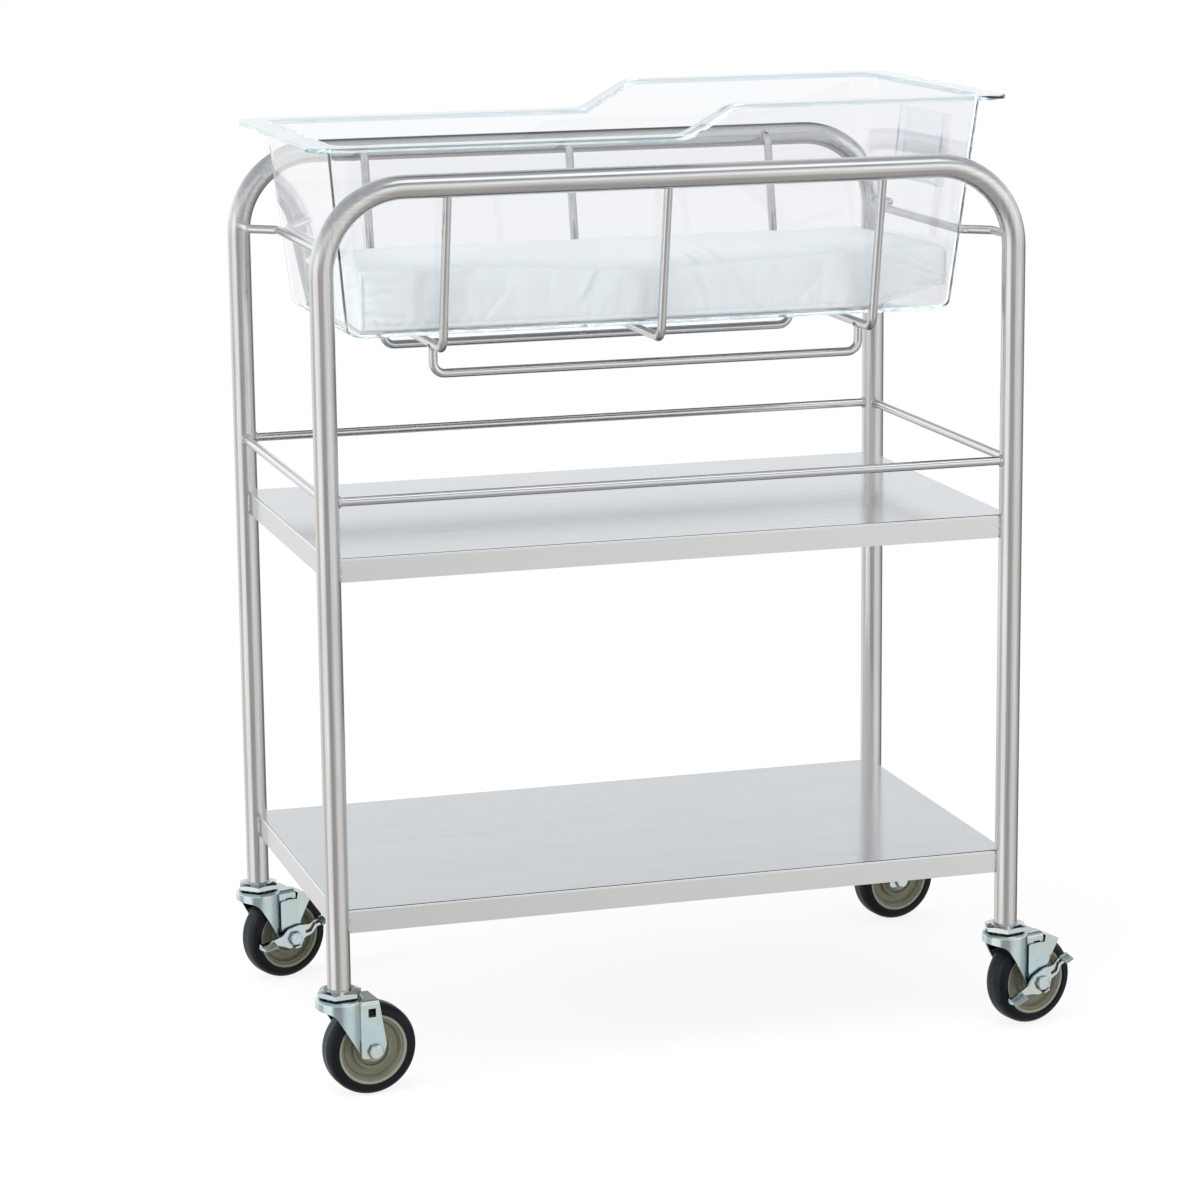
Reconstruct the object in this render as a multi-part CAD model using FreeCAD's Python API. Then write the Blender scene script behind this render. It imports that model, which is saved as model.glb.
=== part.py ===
"""Hospital bassinet: a clear tub cradled in a stainless tube stand with two shelves, on four swivel casters.

Millimetres. X runs along the tub with the head end at +X, Y runs across, Z is up. The origin is on the
floor, midway between the four legs. Every piece is written to parts/ as a STEP file of its own.
"""

import FreeCAD
import Part
import math
import os

V = FreeCAD.Vector

# ---- stand -------------------------------------------------------------------------------------------
TUBE_D = 25.4            # legs and top rails
TUBE_WALL = 1.65
LEG_END_ROOM = 43.0      # leg centres beyond the tub's floor, along the tub
LEG_SIDE_ROOM = 58.25    # leg centres beyond the tub's floor, across the tub
RAIL_Z = 967.5           # centreline of the top rails
RAIL_BEND_R = 88.9       # centreline radius of the bend from leg to rail
ROD_D = 9.525            # guard rods, hoops, support bars and end rods

LOWER_SHELF_Z = 204.5    # top faces
UPPER_SHELF_Z = 584.3
SHELF_SHEET = 1.2
SHELF_EDGE_R = 2.4       # outside radius where the top turns down
SKIRT_DEPTH = 25.4
SKIRT_HEM = 10.0         # return at the foot of the skirt
GUARD_RISE = 60.0        # guard rod centres above the upper shelf

# ---- tub ---------------------------------------------------------------------------------------------
TUB_BASE_L = 676.0       # outside, at the floor of the tub
TUB_BASE_W = 312.8
TUB_TAPER = 5.88         # degrees, all four walls
TUB_WALL = 4.0
TUB_CORNER_R = 25.0      # vertical corners, outside
TUB_FLOOR_R = 12.0       # floor edge, outside
TUB_DEPTH = 204.2        # underside to the top of the rim at the foot end
LIP_REACH = 46.8         # rim beyond the tub's floor, all round
LIP_R = 33.0
LIP_T = 4.5
LIP_RISE = 31.0          # the rim steps up towards the head end
LIP_STEP_X = 17.0        # where it starts to rise
LIP_STEP_L = 55.0        # length of the rise
LIP_KNEE_R = 30.0

CARD_W = 138.0           # card pocket on the head end wall
CARD_H = 81.0
CARD_DROP = 29.2         # its top below the rim
CARD_SHEET = 2.0
CARD_ROOM = 6.0          # depth inside the pocket
CARD_RIM = 6.0           # width of the closed sides and foot

MATTRESS_END_ROOM = 9.0    # to the tub's floor size, at each end
MATTRESS_SIDE_ROOM = 10.5
MATTRESS_T = 56.0
MATTRESS_EDGE_R = 14.0
MATTRESS_CORNER_R = 30.0

# ---- cradle ------------------------------------------------------------------------------------------
HOOP_PITCH = 240.0       # between hoops, along the tub
HOOP_DROP = 178.0        # top rail centre down to the centre of a hoop's flat run
HOOP_SHOULDER = 23.2     # rail centre to the hoop's upper corner
HOOP_TOP_R = 9.5         # bends, centreline
HOOP_FOOT_R = 14.0
HOOP_TO_TUB = 9.24       # air between the flat run and the tub's floor
BAR_HALF_PITCH = 114.0   # support bars, from the middle
BAR_DROP = 32.0          # below the flat runs of the hoops
BAR_BEND_R = 12.5
END_ROD_DROP = 78.5      # end rods, below the rail centres
END_ROD_STUB = 57.6      # leg centre to the outer bend
END_ROD_CORNER = 5.2     # inner bend, inside the start of the tub's rounded corner
END_ROD_BEND_R = 10.0

# ---- casters -----------------------------------------------------------------------------------------
WHEEL_D = 101.6
TYRE_W = 31.75
TYRE_T = 12.3            # hub to tread
TYRE_LAND = 1.0          # flat of the side wall, below its round shoulder
HUB_RIM_INSET = 2.6      # rim of the hub, inside the side of the tyre
HUB_BOSS_D = 24.0
SLEEVE_D = 13.0
AXLE_D = 9.5
AXLE_HEAD_AF = 14.3      # across flats, bolt head and nut
AXLE_HEAD_H = 4.6
AXLE_NUT_H = 8.0
TRAIL = 32.0             # kingpin to axle
FORK_SHEET = 2.5
FORK_CROWN_D = 51.5
FORK_CROWN_EDGE_R = 4.5
FORK_TREAD_GAP = 3.4     # tread to the underside of the saddle
FORK_SIDE_GAP = 1.3      # tyre to each leg
FORK_SADDLE_DROP = 3.0   # crown top down to the saddle behind it
FORK_SKIRT = 10.5        # crown top down to the foot of the front skirt
RACE_D = 41.0
RACE_BORE = 24.0
RACE_H = 2.4
RACE_TEETH = 16
RACE_TOOTH = 1.8
COLLAR_AF = 42.6         # hexagon collar, across flats
COLLAR_H = 6.8
COLLAR_TOP_D = 34.0      # flat round the leg, from where the top slopes to the corners
COLLAR_SLOPE = 2.6
STEM_D = 12.0
STEM_TOP_W = 3.0         # washer over the expander
KINGPIN_HEAD_D = 20.0
KINGPIN_HEAD_H = 6.0
EXPANDER_H = 34.0

CASTER_YAW = {"fl": 7.3, "fr": 14.6, "rl": 19.0, "rr": 9.5}   # degrees, trail side turned from +X to +Y
BRAKED = {"fr": 22.0, "rl": 7.0}     # degrees that the brake lever leans: released 22, applied 7

BRAKE_SHEET = 2.0
BRAKE_SHOE_GAP = 1.0     # shoe to tread
BRAKE_SHOE_REACH = 34.0  # shoe, across the tread
LEVER_SHEET = 2.8
LEVER_STANDOFF = 1.8     # lever boss between brake plate and lever
LEVER_BOSS_D = 20.0
LEVER_PAD_W = 11.5       # toe pads, turned out
LEVER_PAD_T = 2.0
LEVER_PAD_TILT = 24.0    # degrees, outer edge down

# ---- clearances --------------------------------------------------------------------------------------
RUNNING_FIT = 0.05       # radial, on shafts that turn
FACE_GAP = 0.1           # between flat faces that turn on each other
SEAT_GAP = 0.3           # a lift-out piece and what carries it
HOLE_FIT = 0.1           # radial, round fixed fasteners

# ---- derived -----------------------------------------------------------------------------------------
TUBE_R = TUBE_D / 2
ROD_R = ROD_D / 2
LEG_X = TUB_BASE_L / 2 + LEG_END_ROOM
LEG_Y = TUB_BASE_W / 2 + LEG_SIDE_ROOM
LIP_L = TUB_BASE_L + 2 * LIP_REACH
LIP_W = TUB_BASE_W + 2 * LIP_REACH
MATTRESS_L = TUB_BASE_L - 2 * MATTRESS_END_ROOM
MATTRESS_W = TUB_BASE_W - 2 * MATTRESS_SIDE_ROOM
WHEEL_R = WHEEL_D / 2
HUB_R = WHEEL_R - TYRE_T
HUB_RIM_W = TYRE_W - 2 * HUB_RIM_INSET
AXLE_R = AXLE_D / 2
SLEEVE_R = SLEEVE_D / 2
STEM_R = STEM_D / 2
CROWN_R = FORK_CROWN_D / 2
FORK_IN = TYRE_W / 2 + FORK_SIDE_GAP         # inner faces of the fork legs
FORK_OUT = FORK_IN + FORK_SHEET              # outer faces of the fork legs
SADDLE_TOP = WHEEL_D + FORK_TREAD_GAP + FORK_SHEET
FORK_TOP = SADDLE_TOP + FORK_SADDLE_DROP
RACE_Z = FORK_TOP + FACE_GAP
COLLAR_Z = RACE_Z + RACE_H
LEG_FOOT = COLLAR_Z + COLLAR_H               # lower ends of the legs
GUARD_Z = UPPER_SHELF_Z + GUARD_RISE
HOOP_Z = RAIL_Z - HOOP_DROP
TUB_Z = HOOP_Z + ROD_R + HOOP_TO_TUB         # underside of the tub
LIP_LOW_Z = TUB_Z + TUB_DEPTH                # top of the rim at the foot end
LIP_HIGH_Z = LIP_LOW_Z + LIP_RISE            # top of the rim at the head end
TAPER = math.radians(TUB_TAPER)
BRAKE_Y = FORK_OUT + BRAKE_SHEET             # outer face of the brake plate
LEVER_Y = BRAKE_Y + FACE_GAP + LEVER_STANDOFF  # inner face of the lever


# ---- helpers -----------------------------------------------------------------------------------------
def bent_wire(corners, radii, closed=False):
    """Straight runs between corners, with a tangent arc of its own radius at each corner."""
    count = len(corners)
    arrive, leave, bends = [], [], []
    for i, corner in enumerate(corners):
        radius = radii[i]
        if radius == 0 or (not closed and i in (0, count - 1)):
            arrive.append(corner)
            leave.append(corner)
            bends.append(None)
            continue
        back = (corners[i - 1] - corner).normalize()
        ahead = (corners[(i + 1) % count] - corner).normalize()
        half = back.getAngle(ahead) / 2
        reach = radius / math.tan(half)
        middle = corner + (back + ahead).normalize() * (radius / math.sin(half) - radius)
        arrive.append(corner + back * reach)
        leave.append(corner + ahead * reach)
        bends.append(Part.Arc(arrive[i], middle, leave[i]).toShape())
    edges = []
    for i in range(count):
        if bends[i]:
            edges.append(bends[i])
        follows = (i + 1) % count
        if closed or follows:
            edges.append(Part.LineSegment(leave[i], arrive[follows]).toShape())
    return Part.Wire(edges)


def bar(corners, bend_radius, diameter):
    """A round bar along straight runs with equal bends, or with one radius for each corner."""
    radii = bend_radius if isinstance(bend_radius, list) else [bend_radius] * len(corners)
    spine = bent_wire(corners, radii)
    section = Part.Wire(Part.makeCircle(diameter / 2, corners[0], corners[1] - corners[0]))
    return spine.makePipeShell([section], True, True)


def plate(outline, y_from, y_to):
    """A flat plate in the XZ plane. The outline lists (x, z, corner radius)."""
    corners = [V(x, y_from, z) for x, z, _ in outline]
    wire = bent_wire(corners, [radius for _, _, radius in outline], closed=True)
    return Part.Face(wire).extrude(V(0, y_to - y_from, 0))


def turned(outline):
    """A solid of revolution about Z. The outline lists (radius, z, corner radius)."""
    corners = [V(r, 0, z) for r, z, _ in outline]
    wire = bent_wire(corners, [radius for _, _, radius in outline], closed=True)
    return Part.Face(wire).revolve(V(0, 0, 0), V(0, 0, 1), 360)


def laid(shape):
    """Turn a part made about Z so that its axis lies along Y, +Z going to -Y."""
    return shape.rotated(V(0, 0, 0), V(1, 0, 0), 90)


def block(x0, x1, y0, y1, z0, z1):
    return Part.makeBox(x1 - x0, y1 - y0, z1 - z0, V(x0, y0, z0))


def drill(radius, x, z, y_from, y_to):
    """A cylinder along Y, for holes and pins."""
    return Part.makeCylinder(radius, y_to - y_from, V(x, y_from, z), V(0, 1, 0))


def rounded_rectangle(length, width, radius, z):
    x, y = length / 2, width / 2
    corners = [V(x, -y, z), V(x, y, z), V(-x, y, z), V(-x, -y, z)]
    return bent_wire(corners, [radius] * 4, closed=True)


def hexagon(across_flats, z_from, height):
    reach = across_flats / math.sqrt(3)
    corners = [V(reach * math.cos(math.radians(60 * i)), reach * math.sin(math.radians(60 * i)), z_from)
               for i in range(6)]
    return Part.Face(Part.makePolygon(corners + corners[:1])).extrude(V(0, 0, height))


def chamfered_hexagon(across_flats, z_from, height, top_d, slope):
    """A hexagon whose corners slope down, by slope, from a round flat top."""
    reach = across_flats / math.sqrt(3)
    top = z_from + height
    turning = turned([(0, z_from, 0), (reach, z_from, 0), (reach, top - slope, 0), (top_d / 2, top, 0), (0, top, 0)])
    return hexagon(across_flats, z_from, height).common(turning)


# ---- stand -------------------------------------------------------------------------------------------
def side_path(side, foot=LEG_FOOT):
    y = side * LEG_Y
    return [V(-LEG_X, y, foot), V(-LEG_X, y, RAIL_Z), V(LEG_X, y, RAIL_Z), V(LEG_X, y, foot)]


def side_frame(side):
    outside = bar(side_path(side), RAIL_BEND_R, TUBE_D)
    inside = bar(side_path(side, LEG_FOOT - 1), RAIL_BEND_R, TUBE_D - 2 * TUBE_WALL)
    return outside.cut(inside)


def solid_sides():
    """Both side frames without their bores, to shape whatever is welded to them."""
    return [bar(side_path(side), RAIL_BEND_R, TUBE_D) for side in (-1, 1)]


def coped(shape, others):
    """Trim a piece to the outsides of those that it is welded to."""
    for other in others:
        shape = shape.cut(other)
    return shape.Solids[0] if len(shape.Solids) == 1 else shape


def pan(inset, z_from, z_to, edge_radius):
    body = block(inset - LEG_X, LEG_X - inset, inset - LEG_Y, LEG_Y - inset, z_from, z_to)
    rim = [edge for edge in body.Edges if edge.BoundBox.ZMin > z_to - 0.01]
    return body.makeFillet(edge_radius, rim)


def shelf(top):
    """A pressed pan, open below between its return hems, notched round the four legs."""
    foot = top - SKIRT_DEPTH
    outside = pan(0, foot, top, SHELF_EDGE_R)
    inside = pan(SHELF_SHEET, foot + SHELF_SHEET, top - SHELF_SHEET, SHELF_EDGE_R - SHELF_SHEET)
    hem = SHELF_SHEET + SKIRT_HEM
    mouth = block(hem - LEG_X, LEG_X - hem, hem - LEG_Y, LEG_Y - hem, foot - 1, foot + 2 * SHELF_SHEET)
    return coped(outside.cut(inside).cut(mouth), SIDES)


def guard_rod(start, end):
    return coped(bar([start, end], 0, ROD_D), SIDES)


# ---- tub ---------------------------------------------------------------------------------------------
def tub_half(base, z):
    """Half the tub's outside length or width at a height."""
    return base / 2 + (z - TUB_Z) * math.tan(TAPER)


def tub_form(inset, foot, top, floor_radius):
    """The tapered form of the tub, drawn in by inset on every side and rounded round its floor."""
    side = inset / math.cos(TAPER)
    sections = []
    for z in (foot, top):
        length = 2 * (tub_half(TUB_BASE_L, z) - side)
        width = 2 * (tub_half(TUB_BASE_W, z) - side)
        sections.append(rounded_rectangle(length, width, TUB_CORNER_R - inset, z))
    form = Part.makeLoft(sections, True, True)
    rim = [edge for edge in form.Edges if edge.BoundBox.ZMax < foot + 0.01]
    return form.makeFillet(floor_radius, rim)


def rim_band(drop_top, drop_foot):
    """Everything between two levels under the top of the rim, following its step."""
    x = LIP_L
    step = LIP_STEP_X + LIP_STEP_L
    slope = math.atan2(LIP_HIGH_Z - LIP_LOW_Z, LIP_STEP_L)
    lean = math.tan(slope / 2)
    outline = []
    for drop, order in ((drop_top, 1), (drop_foot, -1)):
        line = [(-x, LIP_LOW_Z - drop, 0), (LIP_STEP_X + drop * lean, LIP_LOW_Z - drop, LIP_KNEE_R + drop),
                (step + drop * lean, LIP_HIGH_Z - drop, LIP_KNEE_R - drop), (x, LIP_HIGH_Z - drop, 0)]
        outline += line[::order]
    return plate(outline, -LIP_W, LIP_W)


def below_rim():
    """Everything under the top of the rim, down to below the tub."""
    x = LIP_L
    step = LIP_STEP_X + LIP_STEP_L
    foot = TUB_Z - 10
    return plate([(-x, foot, 0), (-x, LIP_LOW_Z, 0), (LIP_STEP_X, LIP_LOW_Z, LIP_KNEE_R),
                  (step, LIP_HIGH_Z, LIP_KNEE_R), (x, LIP_HIGH_Z, 0), (x, foot, 0)], -LIP_W, LIP_W)


def tub():
    outside = tub_form(0, TUB_Z, LIP_HIGH_Z + 1, TUB_FLOOR_R)
    inside = tub_form(TUB_WALL, TUB_Z + TUB_WALL, LIP_HIGH_Z + 20, TUB_FLOOR_R - TUB_WALL)
    flange = Part.Face(rounded_rectangle(LIP_L, LIP_W, LIP_R, TUB_Z)).extrude(V(0, 0, LIP_HIGH_Z - TUB_Z + 1))
    flange = flange.common(rim_band(0, LIP_T))
    return outside.common(below_rim()).fuse(flange).cut(inside)


def card_pocket():
    """A clear pocket bonded to the head end wall: a front sheet on closed sides and foot, open at the top."""
    foot_z = LIP_HIGH_Z - CARD_DROP - CARD_H
    depth = CARD_ROOM + CARD_SHEET
    half = CARD_W / 2
    body = block(0, depth, -half, half, 0, CARD_H)
    room = block(-1, CARD_ROOM, CARD_RIM - half, half - CARD_RIM, CARD_RIM, CARD_H + 1)
    pocket = body.cut(room)
    corners = [edge for edge in pocket.Edges
               if abs(edge.BoundBox.YLength) < 0.01 and abs(edge.BoundBox.ZLength) < 0.01
               and abs(abs(edge.BoundBox.YMin) - half) < 0.01]
    pocket = pocket.makeFillet(CARD_RIM / 2, corners)
    pocket = pocket.rotated(V(0, 0, 0), V(0, 1, 0), TUB_TAPER)
    return pocket.translated(V(tub_half(TUB_BASE_L, foot_z), 0, foot_z))


def mattress():
    foot = TUB_Z + TUB_WALL + SEAT_GAP
    slab = Part.Face(rounded_rectangle(MATTRESS_L, MATTRESS_W, MATTRESS_CORNER_R, foot)).extrude(V(0, 0, MATTRESS_T))
    rims = [edge for edge in slab.Edges if edge.BoundBox.ZLength < 0.01]
    return slab.makeFillet(MATTRESS_EDGE_R, rims)


# ---- cradle ------------------------------------------------------------------------------------------
def hoop_half_width():
    """The hoop's leg passes the rounded floor edge of the tub at the seat gap."""
    shoulder = LEG_Y - HOOP_SHOULDER
    centre = TUB_BASE_W / 2 - TUB_FLOOR_R * math.tan(math.pi / 4 - TAPER / 2)
    across = shoulder - centre
    up = RAIL_Z - (TUB_Z + TUB_FLOOR_R)
    keep_off = TUB_FLOOR_R + ROD_R + SEAT_GAP
    lean = math.atan2(across, up) - math.asin(keep_off / math.hypot(across, up))
    return shoulder - HOOP_DROP * math.tan(lean)


def hoop(x):
    half = hoop_half_width()
    shoulder = LEG_Y - HOOP_SHOULDER
    path = [V(x, -LEG_Y, RAIL_Z), V(x, -shoulder, RAIL_Z), V(x, -half, HOOP_Z),
            V(x, half, HOOP_Z), V(x, shoulder, RAIL_Z), V(x, LEG_Y, RAIL_Z)]
    return coped(bar(path, [0, HOOP_TOP_R, HOOP_FOOT_R, HOOP_FOOT_R, HOOP_TOP_R, 0], ROD_D), SIDES)


def support_bar(y):
    z = HOOP_Z - BAR_DROP
    path = [V(-HOOP_PITCH, y, HOOP_Z), V(-HOOP_PITCH, y, z), V(HOOP_PITCH, y, z), V(HOOP_PITCH, y, HOOP_Z)]
    runs = [Part.makeCylinder(ROD_R, 4 * ROD_D, V(x, y - 2 * ROD_D, HOOP_Z), V(0, 1, 0))
            for x in (-HOOP_PITCH, HOOP_PITCH)]
    return coped(bar(path, BAR_BEND_R, ROD_D), runs)


def end_rod(side):
    """Stops the tub at one end: it joggles in from the legs to run along the end wall."""
    z = RAIL_Z - END_ROD_DROP
    inner_x = tub_half(TUB_BASE_L, z) + (ROD_R + SEAT_GAP) / math.cos(TAPER)
    outer_y = LEG_Y - END_ROD_STUB
    inner_y = tub_half(TUB_BASE_W, z) - TUB_CORNER_R - END_ROD_CORNER
    path = [V(side * LEG_X, -LEG_Y, z), V(side * LEG_X, -outer_y, z), V(side * inner_x, -inner_y, z),
            V(side * inner_x, inner_y, z), V(side * LEG_X, outer_y, z), V(side * LEG_X, LEG_Y, z)]
    return coped(bar(path, END_ROD_BEND_R, ROD_D), SIDES)


# ---- casters, made with the kingpin on Z, the trail along +X and the brake side at -Y -----------------
def caster_stem():
    """Kingpin with its riveted head, hexagon collar, and the stem that draws up the expander."""
    head_top = FORK_TOP - FORK_SHEET - FACE_GAP
    washer_r = STEM_R + 4
    washer_z = LEG_FOOT + EXPANDER_H
    pin = turned([(0, head_top - KINGPIN_HEAD_H, 0), (KINGPIN_HEAD_D / 2, head_top - KINGPIN_HEAD_H, 2.5),
                  (KINGPIN_HEAD_D / 2, head_top, 0), (STEM_R, head_top, 0), (STEM_R, washer_z, 0),
                  (washer_r, washer_z, 0), (washer_r, washer_z + STEM_TOP_W, 0), (STEM_R, washer_z + 2 * STEM_TOP_W, 0),
                  (0, washer_z + 2 * STEM_TOP_W, 0)])
    return pin.fuse(chamfered_hexagon(COLLAR_AF, COLLAR_Z, COLLAR_H, COLLAR_TOP_D, COLLAR_SLOPE))


def stem_expander():
    """The rubber sleeve that swells against the bore of the leg."""
    bore_r = TUBE_R - TUBE_WALL - RUNNING_FIT
    return Part.makeCylinder(bore_r, EXPANDER_H, V(0, 0, LEG_FOOT)).cut(
        Part.makeCylinder(STEM_R + RUNNING_FIT, EXPANDER_H, V(0, 0, LEG_FOOT)))


def race_ring():
    """The ball race's retainer, notched round its rim."""
    ring = Part.makeCylinder(RACE_D / 2, RACE_H, V(0, 0, RACE_Z))
    ring = ring.cut(Part.makeCylinder(RACE_BORE / 2, RACE_H, V(0, 0, RACE_Z)))
    width = math.pi * RACE_D / RACE_TEETH / 2
    notch = block(RACE_D / 2 - RACE_TOOTH, RACE_D, -width / 2, width / 2, RACE_Z - 1, RACE_Z + RACE_H + 1)
    for i in range(RACE_TEETH):
        ring = ring.cut(notch.rotated(V(0, 0, 0), V(0, 0, 1), 360.0 * i / RACE_TEETH))
    return ring


def fork_form(inset, reach):
    """Crown and saddle of the fork, drawn in by the sheet on every side."""
    crown_r = CROWN_R - inset
    edge_r = FORK_CROWN_EDGE_R - inset
    half = FORK_OUT - inset
    top = FORK_TOP - inset
    saddle = SADDLE_TOP - inset
    crown = turned([(0, 0, 0), (crown_r, 0, 0), (crown_r, top, edge_r), (0, top, 0)])
    corners = [V(0, -half, 0), V(0, half, 0), V(0, half, saddle), V(0, -half, saddle)]
    section = bent_wire(corners, [0, 0, edge_r, edge_r], closed=True)
    return crown.fuse(Part.Face(section).extrude(V(reach, 0, 0)))


def fork_outline():
    """Side view of the fork: front skirt, the raked legs down to the axle, and the rear edge."""
    skirt = FORK_TOP - FORK_SKIRT
    foot = WHEEL_R - 7.6
    over = FORK_TOP + 3
    return [(-CROWN_R - 2, over, 0), (-CROWN_R - 2, skirt, 0), (-13.5, skirt - 3, 16), (TRAIL - 13.5, foot, 5),
            (TRAIL + 8.5, foot + 1, 5), (TRAIL + 13.5, WHEEL_R + 6, 6), (TRAIL + 4.5, over, 0)]


def fork():
    shell = fork_form(0, TRAIL + 30).cut(fork_form(FORK_SHEET, TRAIL + 40))
    shell = shell.common(plate(fork_outline(), -CROWN_R - 1, CROWN_R + 1))
    shell = shell.cut(Part.makeCylinder(STEM_R + RUNNING_FIT, 2 * FORK_TOP, V(0, 0, 0)))
    shell = shell.cut(drill(AXLE_R + HOLE_FIT, TRAIL, WHEEL_R, -CROWN_R, CROWN_R))
    return shell.cut(tongue_hole(-CROWN_R - 1, CROWN_R + 1))


def tongue_hole(y_from, y_to, clear=0.0):
    """The square hole in each fork leg, over the wheel."""
    x, z, half = TRAIL - 2.5, WHEEL_R + 42.5, 4.25 - clear
    return block(x - half, x + half, y_from, y_to, z - half, z + half + 1)


def grip(code):
    """Distance from the wheel's middle to the underside of the bolt head."""
    if code in BRAKED:
        return LEVER_Y + LEVER_SHEET + FACE_GAP
    return FORK_OUT


def axle_bolt(code):
    head = chamfered_hexagon(AXLE_HEAD_AF, grip(code), AXLE_HEAD_H, AXLE_HEAD_AF - 1, 0.8)
    tail = FORK_OUT + AXLE_NUT_H + 2
    shank = Part.makeCylinder(AXLE_R, grip(code) + tail, V(0, 0, -tail))
    return laid(head.fuse(shank)).translated(V(TRAIL, 0, WHEEL_R))


def axle_nut():
    nut = hexagon(AXLE_HEAD_AF, -FORK_OUT - AXLE_NUT_H, AXLE_NUT_H)
    nut = nut.cut(Part.makeCylinder(AXLE_R + RUNNING_FIT, 3 * AXLE_NUT_H, V(0, 0, -FORK_OUT - 2 * AXLE_NUT_H)))
    return laid(nut).translated(V(TRAIL, 0, WHEEL_R))


def bearing_sleeve():
    """Clamped between the fork legs, so that the wheel turns on it."""
    length = 2 * (FORK_IN - FACE_GAP)
    sleeve = Part.makeCylinder(SLEEVE_R, length, V(0, 0, -length / 2))
    sleeve = sleeve.cut(Part.makeCylinder(AXLE_R + RUNNING_FIT, length, V(0, 0, -length / 2)))
    return laid(sleeve).translated(V(TRAIL, 0, WHEEL_R))


def wheel_hub():
    """Moulded hub: boss, dished web with a raised ring, and a stepped rim."""
    bore = SLEEVE_R + RUNNING_FIT
    boss = HUB_BOSS_D / 2
    end = FORK_IN - 6 * FACE_GAP
    rim = HUB_RIM_W / 2
    half = [(bore, end, 0), (boss, end, 0), (boss, rim - 3.5, 0), (HUB_R - 20, rim - 4.5, 0), (HUB_R - 20, rim - 2, 0),
            (HUB_R - 17, rim - 2, 0), (HUB_R - 16.2, rim - 7, 0), (HUB_R - 8.5, rim - 7, 0), (HUB_R - 6, rim - 3, 0),
            (HUB_R - 3.5, rim - 3, 0), (HUB_R - 2.5, rim, 0), (HUB_R, rim, 0)]
    other = [(r, -y, c) for r, y, c in reversed(half)]
    return laid(turned(half + other)).translated(V(TRAIL, 0, WHEEL_R))


def tyre():
    """Solid tread, nearly a full round from side wall to side wall."""
    rim = HUB_RIM_W / 2
    half = TYRE_W / 2
    land = TYRE_LAND / 2
    shoulder = TYRE_T - TYRE_LAND
    profile = [(HUB_R, -rim, 0), (HUB_R + land, -half, 0), (WHEEL_R, -half, shoulder),
               (WHEEL_R, half, shoulder), (HUB_R + land, half, 0), (HUB_R, rim, 0)]
    return laid(turned(profile)).translated(V(TRAIL, 0, WHEEL_R))


def tread_sector(inner, outer, start, end, y_from, y_to):
    """A sector about the axle. Angles are from straight up, towards the trail side."""
    wedge = Part.makeCylinder(outer, y_to - y_from, V(0, 0, 0), V(0, 0, 1), end - start)
    wedge = wedge.cut(Part.makeCylinder(inner, y_to - y_from, V(0, 0, 0)))
    wedge = wedge.rotated(V(0, 0, 0), V(0, 0, 1), 90 - end)
    return laid(wedge).translated(V(TRAIL, y_to, WHEEL_R))


def brake_plate():
    """Side plate on the fork leg, the shoe bent in over the tread, and a tongue through the square hole."""
    face, back = -BRAKE_Y, -FORK_OUT
    top = WHEEL_R + 45.5
    inner = WHEEL_R + BRAKE_SHOE_GAP
    side = plate([(TRAIL - 15, top, 3), (TRAIL - 15, WHEEL_R + 14, 10), (TRAIL - 9.5, WHEEL_R - 8, 7),
                  (TRAIL + 9.5, WHEEL_R - 8, 7), (TRAIL + 11.5, WHEEL_R + 19, 6), (TRAIL + 25.5, top, 3)], face, back)
    side = side.cut(drill(inner + BRAKE_SHEET + 4, TRAIL, WHEEL_R, face, back).cut(
        drill(inner + BRAKE_SHEET, TRAIL, WHEEL_R, face, back)))
    web = tread_sector(WHEEL_R - 12, inner + BRAKE_SHEET, 9, 30, face, back)
    shoe = tread_sector(inner, inner + BRAKE_SHEET, 9, 30, face, face + BRAKE_SHOE_REACH)
    tongue = tongue_hole(face, back + FORK_SHEET + 2, 0.8)
    body = side.fuse(web).fuse(shoe).fuse(tongue.common(
        block(0, 2 * TRAIL, -CROWN_R, CROWN_R, WHEEL_R + 43.5, WHEEL_R + 46)))
    return body.cut(drill(AXLE_R + HOLE_FIT, TRAIL, WHEEL_R, -3 * CROWN_R, 0))


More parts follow.
